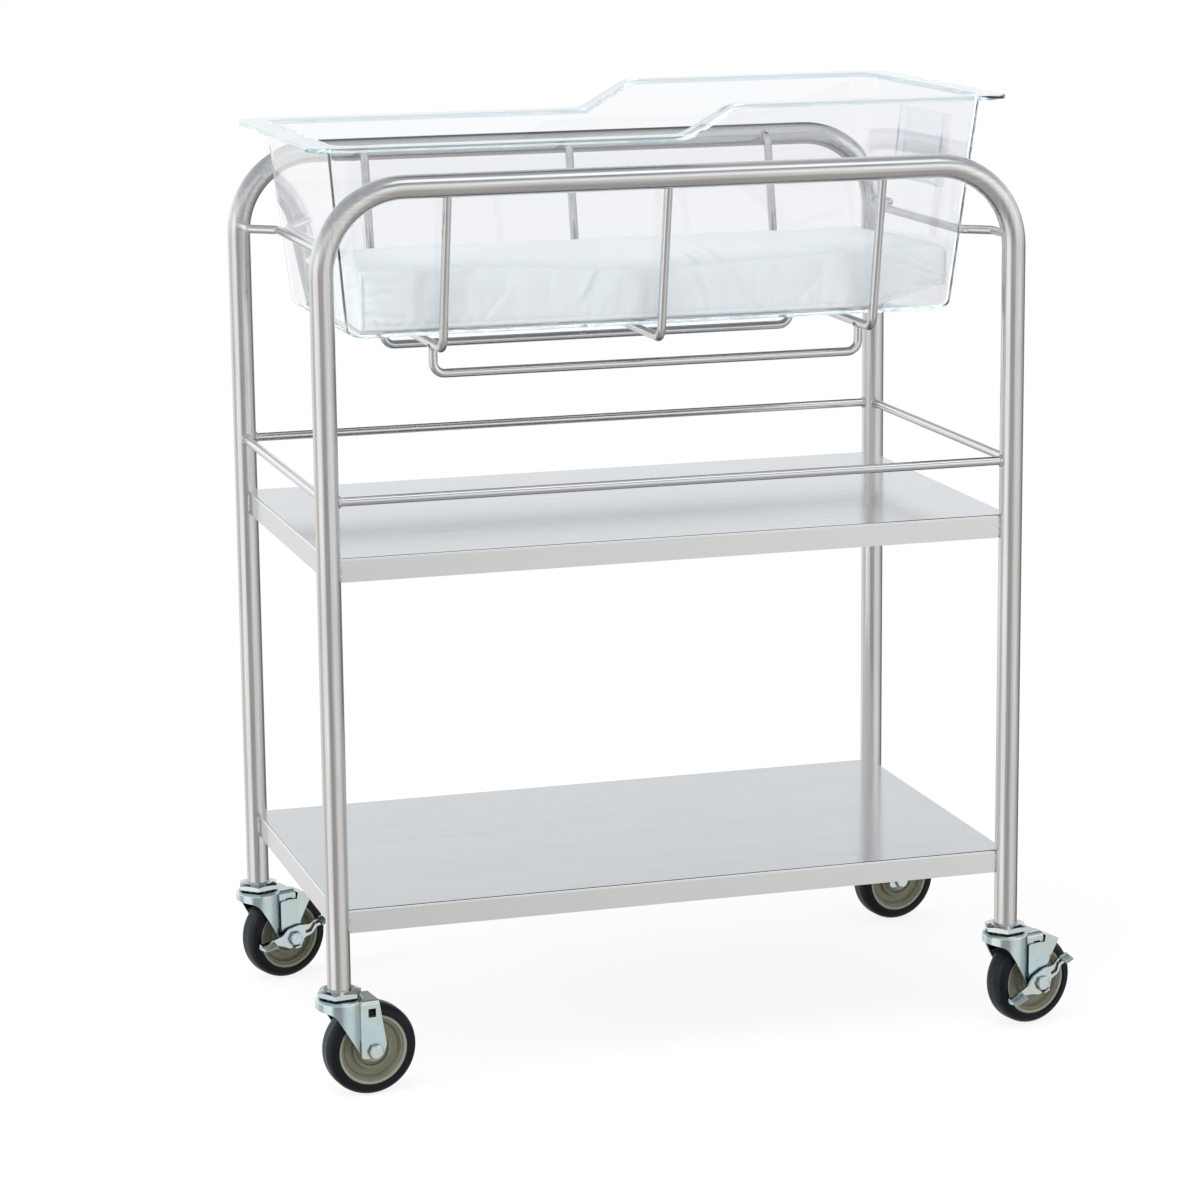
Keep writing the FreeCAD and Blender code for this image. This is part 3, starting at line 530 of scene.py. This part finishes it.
# ---- mattress ------------------------------------------------------------------------
PAD_FROM, PAD_TO = -0.3235, 0.3350     # ends and half width of the pad before it swells
PAD_Y = 0.1395
PAD_H = 0.0590                         # height of the box that it is made from
PAD_FOOT = MATTRESS_FOOT + 0.0008
PAD_CORNER = 0.008
PAD_GRID, PAD_GRID_QUICK = 0.0048, 0.012
HEM = 0.0065                           # stitched seam, above its foot
LIFT, LIFT_FROM, LIFT_RUN = 0.0215, 0.238, 0.092    # its foot, drawn up at the head end
LIFT_FADE = 0.040                      # above its foot, where the lift has faded out
TOP_HELD_X = 0.29                      # its top edge is held as far out as this
SWELL_CAP = 0.0035
CLOTH_FRAMES = 20
CREASE_WIDTH = 0.80                    # of the half widths in CREASES
REAR_EDGE = 0.0535                     # top edges above its foot: rear, and front over X
FRONT_EDGE = ((-0.33, -0.23, -0.15, -0.063, 0.0, 0.05, 0.12, 0.20, 0.28, 0.335),
              (0.0645, 0.0655, 0.0620, 0.0552, 0.0538, 0.0548, 0.0580, 0.0612, 0.0635, 0.0615))
SLACK, CROWN = 0.0009, 0.0020          # unevenness of its walls and top, rise of its middle
HEM_GROOVE, GATHER = 0.0013, 0.0006    # depth of the seam, and of the folds over it
STITCH_PITCH, STITCH = 0.0044, 0.0027


def pad_height(x, y):
    """Top edge above the foot: full at the front corners, sunk in the middle, lower at the rear."""
    share = np.clip((PAD_Y - np.asarray(y)) / (2 * PAD_Y), 0, 1)
    share = share * share * (3 - 2 * share)
    return REAR_EDGE + (np.interp(x, *FRONT_EDGE) - REAR_EDGE) * share


def foot_lift(x):
    """The sewn corners are drawn up at the head end."""
    share = np.clip((np.asarray(x) - LIFT_FROM) / LIFT_RUN, 0.0, 1.0)
    return LIFT * share * share * (3 - 2 * share)


def hem_height(x):
    return PAD_FOOT + HEM + foot_lift(x) * (1 - HEM / LIFT_FADE)


def on_front(x, z):
    return x, -PAD_Y - 0.003, z


def on_rear(x, z):
    return x, PAD_Y + 0.003, z


def on_top(x, y):
    return x, y, PAD_FOOT + float(pad_height(x, y)) + 0.003


# Creases in the cover: start, end, depth, half width.
CREASES = [
    (on_front(-0.063, 0.8600), on_front(-0.083, 0.8270), 0.0038, 0.0068),
    (on_front(0.046, 0.8560), on_front(0.063, 0.8120), 0.0034, 0.0062),
    (on_front(0.083, 0.8600), on_front(0.111, 0.8175), 0.0038, 0.0064),
    (on_top(0.060, -0.050), on_top(0.050, -0.137), 0.0036, 0.0072),
    (on_top(0.092, -0.015), on_top(0.078, -0.137), 0.0040, 0.0076),
    (on_top(-0.112, -0.075), on_top(-0.062, -0.137), 0.0036, 0.0074),
    (on_top(-0.090, -0.050), on_top(0.035, -0.086), 0.0026, 0.0100),
    (on_top(0.120, -0.080), on_top(0.205, -0.132), 0.0024, 0.0090),
    (on_front(0.258, 0.8640), on_front(0.330, 0.8380), 0.0034, 0.0062),
    (on_front(0.281, 0.8700), on_front(0.327, 0.8450), 0.0028, 0.0056),
    (on_front(0.288, 0.8300), on_front(0.328, 0.8340), 0.0028, 0.0056),
    (on_front(-0.318, 0.8630), on_front(-0.282, 0.8590), 0.0026, 0.0056),
    (on_front(-0.318, 0.8460), on_front(-0.290, 0.8500), 0.0024, 0.0052),
    (on_front(-0.318, 0.8280), on_front(-0.276, 0.8210), 0.0026, 0.0056),
    (on_front(-0.190, 0.8200), on_front(-0.168, 0.8420), 0.0016, 0.0070),
    (on_front(0.160, 0.8190), on_front(0.186, 0.8440), 0.0018, 0.0070),
    ((PAD_FROM - 0.003, -0.128, 0.858), (PAD_FROM - 0.003, -0.070, 0.846), 0.0036, 0.0064),
    ((PAD_FROM - 0.003, -0.118, 0.838), (PAD_FROM - 0.003, -0.040, 0.826), 0.0032, 0.0062),
    ((PAD_FROM - 0.003, -0.050, 0.852), (PAD_FROM - 0.003, 0.010, 0.834), 0.0030, 0.0064),
    ((PAD_FROM - 0.003, 0.040, 0.846), (PAD_FROM - 0.003, 0.105, 0.824), 0.0030, 0.0064),
    ((PAD_TO + 0.003, -0.090, 0.850), (PAD_TO + 0.003, -0.020, 0.838), 0.0030, 0.0062),
    ((PAD_TO + 0.003, 0.030, 0.836), (PAD_TO + 0.003, 0.100, 0.848), 0.0030, 0.0062),
    (on_rear(-0.120, 0.848), on_rear(-0.092, 0.820), 0.0032, 0.0062),
    (on_rear(0.100, 0.848), on_rear(0.070, 0.822), 0.0032, 0.0062),
    (on_rear(0.190, 0.848), on_rear(0.218, 0.826), 0.0026, 0.0058),
    (on_top(-0.305, -0.095), on_top(-0.215, -0.122), 0.0024, 0.0090),
    (on_top(0.200, 0.060), on_top(0.305, 0.110), 0.0024, 0.0096),
    (on_top(-0.300, 0.060), on_top(-0.220, 0.118), 0.0024, 0.0096),
]


def pad_form():
    """A box with rounded upright corners and eased edges, cut into a grid."""
    bm = bmesh.new()
    bmesh.ops.create_cube(bm, size=1.0)
    for v in bm.verts:
        v.co = Vector((PAD_TO if v.co.x > 0 else PAD_FROM, 2 * PAD_Y * v.co.y,
                       PAD_H if v.co.z > 0 else 0.0))
    upright = [edge for edge in bm.edges if abs(edge.verts[0].co.z - edge.verts[1].co.z) > 0.01]
    bmesh.ops.bevel(bm, geom=upright, offset=PAD_CORNER, segments=4, affect="EDGES", profile=0.5)
    level = [edge for edge in bm.edges if edge.calc_face_angle(0) > 1.2]
    bmesh.ops.bevel(bm, geom=level, offset=0.0024, segments=2, affect="EDGES", profile=0.5)
    pitch = PAD_GRID
    planes = [((x, 0, 0), (1, 0, 0)) for x in np.arange(PAD_FROM + pitch, PAD_TO, pitch)]
    planes += [((0, y, 0), (0, 1, 0)) for y in np.arange(pitch - PAD_Y, PAD_Y, pitch)]
    planes += [((0, 0, HEM + d), (0, 0, 1)) for d in (-0.0022, 0.0, 0.0022)]
    planes += [((0, 0, z), (0, 0, 1)) for z in np.arange(0.0135, PAD_H - 0.004, pitch)]
    for place, normal in planes:
        bmesh.ops.bisect_plane(bm, geom=bm.verts[:] + bm.edges[:] + bm.faces[:],
                               plane_co=place, plane_no=normal)
    bmesh.ops.recalc_face_normals(bm, faces=bm.faces)
    mesh = bpy.data.meshes.new("mattress_cover")
    bm.to_mesh(mesh)
    bm.free()
    made = bpy.data.objects.new("mattress_cover", mesh)
    bpy.context.collection.objects.link(made)
    return made


def points_of(mesh):
    place = np.empty(len(mesh.vertices) * 3)
    mesh.vertices.foreach_get("co", place)
    return place.reshape(-1, 3)


def shaped(pad):
    """Brings the box to the pad's own heights, and returns the vertices that its seams hold."""
    place = points_of(pad.data)
    x, y, z = place.T.copy()
    past_x = np.abs(x - (PAD_FROM + PAD_TO) / 2) - (PAD_TO - PAD_FROM) / 2
    past_y = np.abs(y) - PAD_Y
    corner = np.hypot(past_x + PAD_CORNER, past_y + PAD_CORNER)
    diagonal = np.abs(past_x - np.abs(y) + PAD_Y) < 0.0022
    upright = diagonal & (corner > PAD_CORNER - 0.001) & (z < PAD_H - 0.004)
    held = (z < 0.0006) | (np.abs(z - HEM) < 0.0004) | upright
    outer = np.maximum(past_x, past_y)
    held |= (z > PAD_H - 0.0020) & (outer > -0.0020) & (np.abs(x) < TOP_HELD_X)
    tall = pad_height(x, y)
    place[:, 2] = np.where(z < HEM, z, HEM + (z - HEM) * (tall - HEM) / (PAD_H - HEM))
    place[:, 2] += PAD_FOOT + foot_lift(x) * np.clip(1 - place[:, 2] / LIFT_FADE, 0, 1)
    pad.data.vertices.foreach_set("co", place.ravel())
    pad.data.update()
    return [int(i) for i in np.nonzero(held)[0]]


def subdivided(pad):
    """One level of subdivision, applied."""
    made = pad.modifiers.new("Subdivision", "SUBSURF")
    made.levels = made.render_levels = 1
    depsgraph = bpy.context.evaluated_depsgraph_get()
    mesh = bpy.data.meshes.new_from_object(pad.evaluated_get(depsgraph))
    pad.modifiers.clear()
    old = pad.data
    pad.data = mesh
    bpy.data.meshes.remove(old)


def swell(pad, held):
    """Cloth filled with air and let out a little, held at its seams. No point moves further than
    SWELL_CAP."""
    start = points_of(pad.data)
    pinned = pad.vertex_groups.new(name="seams")
    pinned.add(held, 1.0, "REPLACE")
    cloth = pad.modifiers.new("Cloth", "CLOTH")
    s = cloth.settings
    s.quality = 6
    s.mass = 0.25
    s.tension_stiffness = s.compression_stiffness = 18
    s.shear_stiffness = 6
    s.bending_stiffness = 0.25
    s.use_pressure = True
    s.uniform_pressure_force = 2.0
    s.shrink_min = -0.010
    s.vertex_group_mass = "seams"
    s.effector_weights.gravity = 0.0
    cloth.point_cache.frame_start, cloth.point_cache.frame_end = 1, CLOTH_FRAMES
    scene = bpy.context.scene
    for number in range(1, CLOTH_FRAMES + 1):
        scene.frame_set(number)
    moved = points_of(pad.evaluated_get(bpy.context.evaluated_depsgraph_get()).data)
    pad.modifiers.clear()
    scene.frame_set(1)
    step = moved - start
    length = np.linalg.norm(step, axis=1, keepdims=True)
    step *= np.minimum(1.0, SWELL_CAP / np.maximum(length, 1e-9))
    pad.data.vertices.foreach_set("co", (start + step).ravel())
    pad.vertex_groups.clear()


def creased(place, normals):
    """Folds drawn into the cover: a sharp valley with a soft ridge to one side of it."""
    push = np.zeros(len(place))
    for a, b, depth, width in CREASES:
        a, b = np.array(a), np.array(b)
        run = b - a
        share = np.clip(((place - a) @ run) / (run @ run), 0, 1)
        near = place - (a + share[:, None] * run)
        width *= CREASE_WIDTH
        high = np.einsum("ij,ij->i", near, normals)
        flat = near - normals * high[:, None]
        off = np.linalg.norm(flat, axis=1)
        signed = np.einsum("ij,ij->i", flat, np.cross(run / np.linalg.norm(run), normals))
        beyond = np.sqrt(np.maximum(off ** 2 - signed ** 2, 0))
        fade = np.sin(np.pi * np.clip(share * 0.9 + 0.05, 0, 1)) ** 0.6
        fade = fade * np.exp(-(beyond / width) ** 2)
        valley = -depth * np.exp(-(signed / (0.45 * width)) ** 2)
        ridge = 0.45 * depth * np.exp(-((signed - 0.95 * width) / (0.7 * width)) ** 2)
        push += np.where(np.abs(high) < 0.012, fade * (valley + ridge), 0)
    return push


def slack_at(x, y, z):
    """Slow and quick unevenness of the cover, about -1 to 1."""
    slow = noise.noise(Vector((x * 9, y * 16, z * 22)))
    quick = noise.noise(Vector((x * 26 + 5, y * 40, z * 46)))
    return slow * 0.6 + quick * 0.4


def room_at(rise):
    """How far the inside of the tub stands out from its floor's size, at a height above it."""
    bend_r, wall = 0.008, 0.0046       # inside the floor's edge; wall and air
    sunk = bend_r - np.minimum(rise, bend_r)
    bend = np.sqrt(np.clip(bend_r ** 2 - sunk ** 2, 0, None)) - bend_r
    return bend + (rise + 0.004) * math.tan(TUB_TAPER) - wall


def dressed(pad):
    """Slack in the cover, its creases, the groove and puckers of its hem, its crown, and the room
    that the tub leaves it."""
    mesh = pad.data
    place = points_of(mesh)
    normals = np.empty(len(mesh.vertices) * 3)
    mesh.vertex_normals.foreach_get("vector", normals)
    normals = normals.reshape(-1, 3)
    push = creased(place, normals)
    slack = np.array([slack_at(x, y, z) for x, y, z in place])
    top = np.clip((place[:, 2] - PAD_FOOT) / 0.02, 0, 1)
    push += slack * SLACK * top
    along = place[:, 0] + place[:, 1]
    below = place[:, 2] - hem_height(place[:, 0])
    upright = 1 - np.abs(normals[:, 2])
    pucker = 0.6 + 0.4 * np.sin(along * 2 * np.pi / 0.013 + 3 * np.sin(along * 41))
    push -= upright * HEM_GROOVE * pucker * np.exp(-(below / 0.0024) ** 2)
    gather = np.sin(along * 2 * np.pi / 0.017 + 2 * np.sin(along * 57))
    push += upright * GATHER * gather * np.exp(-((below - 0.005) / 0.005) ** 2)
    place = place + normals * push[:, None]
    across = np.clip(1 - (np.abs(place[:, 1]) / PAD_Y) ** 2.4, 0, 1)
    place[:, 2] += CROWN * across * np.clip((place[:, 2] - PAD_FOOT - 0.03) / 0.02, 0, 1)
    floor = MATTRESS_FOOT - 0.0003
    place[:, 2] = np.maximum(place[:, 2], floor + 0.0005)
    room = room_at(place[:, 2] - floor)
    place[:, 0] = np.clip(place[:, 0], -TUB_HALF_X - room, TUB_HALF_X + room)
    place[:, 1] = np.clip(place[:, 1], -TUB_HALF_Y - room, TUB_HALF_Y + room)
    mesh.vertices.foreach_set("co", place.ravel())
    mesh.update()


def cord(points, radius, wobble=0.0, sides=8):
    """A thread or piping through points, thinner at its two ends."""
    ends = (0, len(points) - 1)
    radii = [radius * (1 + wobble * math.sin(i * 1.9)) * (0.55 if i in ends else 1)
             for i in range(len(points))]
    return tube_along(points, radii, False, sides)


def sewn(pad):
    """Piping up the four corners and the stitches of the hem, laid on the finished cover."""
    cover = BVHTree.FromPolygons([v.co for v in pad.data.vertices],
                                 [tuple(f.vertices) for f in pad.data.polygons])

    def on_cover(x, y, z, away, depth):
        hit, normal, _, _ = cover.ray_cast(Vector((x, y, z)) + Vector(away) * 0.05, -Vector(away))
        return hit + normal * depth if hit else None

    piping, stitches = [], []
    for x, sx in ((PAD_FROM + PAD_CORNER, -1), (PAD_TO - PAD_CORNER, 1)):
        for sy in (-1, 1):
            y = sy * (PAD_Y - PAD_CORNER)
            away = Vector((sx, sy, 0)).normalized()
            low = float(hem_height(x)) - HEM + 0.002
            high = PAD_FOOT + float(pad_height(x, y)) - 0.004
            points = [on_cover(x, y, low + (high - low) * i / 14, away, 0.0004) for i in range(15)]
            piping.append(cord([p for p in points if p], 0.0016, 0.18))
    lengthwise, crosswise = (PAD_FROM + 0.014, PAD_TO - 0.014), (0.014 - PAD_Y, PAD_Y - 0.014)
    sides = [(lengthwise, -PAD_Y, (0, -1, 0)), (lengthwise, PAD_Y, (0, 1, 0)),
             (crosswise, PAD_FROM, (-1, 0, 0)), (crosswise, PAD_TO, (1, 0, 0))]
    for (start, stop), fixed, away in sides:
        for k in range(int((stop - start) / STITCH_PITCH)):
            points = []
            for share, depth in ((0.0, -0.0002), (0.5, 0.0005), (1.0, -0.0002)):
                run = start + k * STITCH_PITCH + share * STITCH
                x, y = (run, fixed) if away[1] else (fixed, run)
                points.append(on_cover(x, y, float(hem_height(x)), away, depth))
            if all(points):
                stitches.append(cord(points, 0.00042, sides=5))
    mesh_object("mattress_piping", *joined(piping), SEAM, "bedding", "mattress")
    mesh_object("mattress_stitches", *joined(stitches), THREAD, "bedding", "mattress")


pad = pad_form()
held = shaped(pad)
swell(pad, held)
subdivided(pad)
dressed(pad)
pad.data.polygons.foreach_set("use_smooth", [True] * len(pad.data.polygons))
pad.data.materials.clear()
pad.data.materials.append(VINYL)
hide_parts("mattress")
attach(pad, "bedding")
sewn(pad)


# ---- caster details ------------------------------------------------------------------
LEVER_FACE = 0.026375                  # outer face of the brake levers, from the wheel's middle
TOE_PADS = (((-0.0455, 0.0037), (-0.0295, 0.0040)), ((0.0420, 0.0132), (0.0325, 0.0135)))
TOE_TILT, TOE_T = math.radians(24), 0.002
RIB_PITCH = 0.0026
RIB_OUT = (0.0022, 0.0028, 0.0066, 0.0104, 0.0110)      # places along a rib, and its radii there
RIB_R = (0.0003, 0.00055, 0.0006, 0.00055, 0.0003)


def lever_ribs(code):
    """Grip ribs pressed up across the two toe pads of a brake lever."""
    yaw = Matrix.Rotation(math.radians(CASTER_YAW[code]), 4, "Z")
    lean = Matrix.Rotation(-math.radians(BRAKE_LEAN[code]), 4, "Y")
    place = (Matrix.Translation((*CORNER[code], 0)) @ yaw
             @ Matrix.Translation((TRAIL, 0, WHEEL_R)) @ lean)
    ribs = []
    for (x0, z0), (x1, z1) in TOE_PADS:
        count = int(abs(x1 - x0) / RIB_PITCH)
        for i in range(count):
            share = (i + 0.7) / (count + 0.4)
            x, z = x0 + (x1 - x0) * share, z0 + (z1 - z0) * share
            points = []
            for out in RIB_OUT:
                sunk = 0.0004 if out in (RIB_OUT[0], RIB_OUT[-1]) else 0.0
                along = Vector((0, -math.cos(TOE_TILT), -math.sin(TOE_TILT))) * out
                up = Vector((0, -math.sin(TOE_TILT), math.cos(TOE_TILT))) * (TOE_T - sunk)
                points.append(place @ (Vector((x, -LEVER_FACE, z)) + along + up))
            ribs.append(tube_along(points, RIB_R, False, 8))
    return joined(ribs)


for code in BRAKE_LEAN:
    mesh_object("lever_ribs_" + code, *lever_ribs(code), ZINC_BRIGHT, "lever_" + code,
                "plated_steel")


# ---- floor, world, lamps and camera --------------------------------------------------
def by_eye(t, path):
    """One for rays from the camera, also through the clear tub."""
    return t.math("ADD", path.outputs["Is Camera Ray"], path.outputs["Is Transmission Ray"],
                  clamp=True)


def stage_floor():
    """A white floor that takes only a soft shadow: it glows for the eye, is plain for indirect
    light, and metal does not reflect it."""
    mesh = bpy.data.meshes.new("floor")
    half = 14.0
    mesh.from_pydata([(-half, -half, 0), (half, -half, 0), (half, half, 0), (-half, half, 0)], [],
                     [(0, 1, 2, 3)])
    floor = bpy.data.objects.new("floor", mesh)
    bpy.context.collection.objects.link(floor)
    made, t = material("floor")
    path = t.add("LightPath")
    seen = by_eye(t, path)
    seen = t.math("ADD", seen, path.outputs["Is Glossy Ray"], clamp=True)
    lit = t.add("BsdfDiffuse", {"Color": (0.80, 0.80, 0.80, 1)})
    faint = t.add("BsdfDiffuse", {"Color": (0.20, 0.20, 0.20, 1)})
    glow = t.add("Emission", {"Color": (1, 1, 1, 1), "Strength": 0.845})
    near = t.add("AddShader", {0: faint.outputs[0], 1: glow.outputs[0]})
    far = t.add("Emission", {"Color": (1, 1, 1, 1), "Strength": 1.0})
    reach = t.add("VectorMath", {0: object_place(t)}, operation="LENGTH").outputs["Value"]
    shown = t.add("MixShader", {0: t.between(reach, 0.9, 2.2), 1: near.outputs[0],
                                2: far.outputs[0]})
    mixed = t.add("MixShader", {0: seen, 1: lit.outputs[0], 2: shown.outputs[0]})
    finish_surface(t, mixed.outputs[0])
    mesh.materials.append(made)
    floor.visible_glossy = False


# What metal reflects: its tone from straight below to straight above, then round soft boxes and
# dark flags (azimuth from +X, elevation, inner and outer radius, all in degrees; added tone).
SKY = ((0.0, (0.50, 0.485, 0.47)), (0.30, (0.575, 0.56, 0.54)), (0.46, (0.665, 0.66, 0.65)),
       (0.53, (0.95, 0.975, 0.99)), (0.65, (0.97, 1.0, 1.02)), (0.73, (0.65, 0.675, 0.70)),
       (0.88, (0.59, 0.61, 0.64)), (0.96, (0.55, 0.57, 0.60)))
PATCHES = ((-62, 56, 8, 17, 1.20), (-160, -14, 12, 31, 0.66), (-52, 2, 14, 44, 0.40),
           (150, 0, 20, 50, 0.15), (116, -6, 16, 36, 0.34),
           (70, 40, 17, 24, -0.66), (56, 58, 10, 20, -0.30), (34, -16, 12, 34, -0.40),
           (-110, -8, 8, 28, -0.15), (-71, 32, 7, 17, -0.30))


def studio_world():
    """White for the eye; soft boxes and dark flags for metal; a plain level for the rest."""
    world = bpy.data.worlds.new("studio")
    bpy.context.scene.world = world
    world.use_nodes = True
    t = Tree(world.node_tree)
    toward = t.add("TexCoord").outputs["Generated"]
    height = t.add("SeparateXYZ", {0: toward}).outputs["Z"]
    shine = t.ramp(t.between(height, -1, 1, smooth=False), SKY)
    total = 0.0
    for azimuth, elevation, inner, outer, amount in PATCHES:
        a, e = math.radians(azimuth), math.radians(elevation)
        middle = (math.cos(e) * math.cos(a), math.cos(e) * math.sin(a), math.sin(e))
        dot = t.add("VectorMath", {0: toward, 1: middle}, operation="DOT_PRODUCT").outputs["Value"]
        part = t.between(dot, math.cos(math.radians(outer)), math.cos(math.radians(inner)),
                         0.0, amount)
        total = t.math("ADD", total, part)
    grey = t.add("CombineColor", {0: total, 1: total, 2: total}).outputs[0]
    shine = t.mix(1.0, shine, grey, "ADD")
    shine = t.mix(1.0, shine, (0.04, 0.04, 0.045), "LIGHTEN")
    path = t.add("LightPath")
    glossy = t.add("Background", {"Color": shine, "Strength": 1.0})
    white = t.add("Background", {"Color": (1, 1, 1, 1), "Strength": 1.0})
    plain = t.add("Background", {"Color": (0.97, 0.985, 1.0, 1), "Strength": 0.72})
    first = t.add("MixShader", {0: path.outputs["Is Glossy Ray"], 1: plain.outputs[0],
                                2: glossy.outputs[0]})
    second = t.add("MixShader", {0: by_eye(t, path), 1: first.outputs[0], 2: white.outputs[0]})
    out = t.add("OutputWorld")
    t.tree.links.new(second.outputs[0], out.inputs["Surface"])


def soft_lamp(name, place, target, size, watts):
    """A round area lamp that lights the part and is not seen in it."""
    data = bpy.data.lights.new(name, "AREA")
    data.shape = "DISK"
    data.size = size
    data.energy = watts
    lamp = bpy.data.objects.new(name, data)
    bpy.context.collection.objects.link(lamp)
    lamp.location = place
    lamp.rotation_euler = (Vector(target) - Vector(place)).to_track_quat("-Z", "Y").to_euler()
    lamp.visible_glossy = lamp.visible_camera = lamp.visible_transmission = False


CAMERA_PLACE = (-1.2093, -4.0236, 1.3656)      # fitted to the photograph, with what follows
CAMERA_TURN = (16.41, 12.007, -0.592)          # degrees round from the front, down, and of roll
CAMERA_FOCUS, PHOTO_WIDTH = 3821.1, 1200       # in its pixels
SENSOR = 36.0


def photo_camera():
    a, pitch, roll = (math.radians(angle) for angle in CAMERA_TURN)
    forward = Vector((math.sin(a) * math.cos(pitch), math.cos(a) * math.cos(pitch),
                      -math.sin(pitch)))
    right = Vector((math.cos(a), -math.sin(a), 0))
    up = right.cross(forward)
    rolled_right = right * math.cos(roll) + up * math.sin(roll)
    rolled_up = -right * math.sin(roll) + up * math.cos(roll)
    data = bpy.data.cameras.new("camera")
    data.sensor_fit = "HORIZONTAL"
    data.sensor_width = SENSOR
    data.lens = SENSOR * CAMERA_FOCUS / PHOTO_WIDTH
    camera = bpy.data.objects.new("camera", data)
    bpy.context.collection.objects.link(camera)
    turn = Matrix((rolled_right, rolled_up, -forward)).transposed().to_4x4()
    camera.matrix_world = Matrix.Translation(CAMERA_PLACE) @ turn
    bpy.context.scene.camera = camera


stage_floor()
studio_world()
soft_lamp("key", (-0.9, -1.1, 3.1), (0, 0, 0.6), size=1.8, watts=27)
soft_lamp("fill", (1.2, -3.0, 1.5), (0, 0, 0.6), size=1.8, watts=13)
soft_lamp("side", (-3.2, -0.4, 1.4), (0, 0, 0.7), size=1.6, watts=42)
photo_camera()
scene = bpy.context.scene
scene.view_settings.view_transform = "Standard"
# Rays cross many clear walls before they leave the tub.
scene.cycles.max_bounces = scene.cycles.transmission_bounces = 32
scene.cycles.glossy_bounces = 24
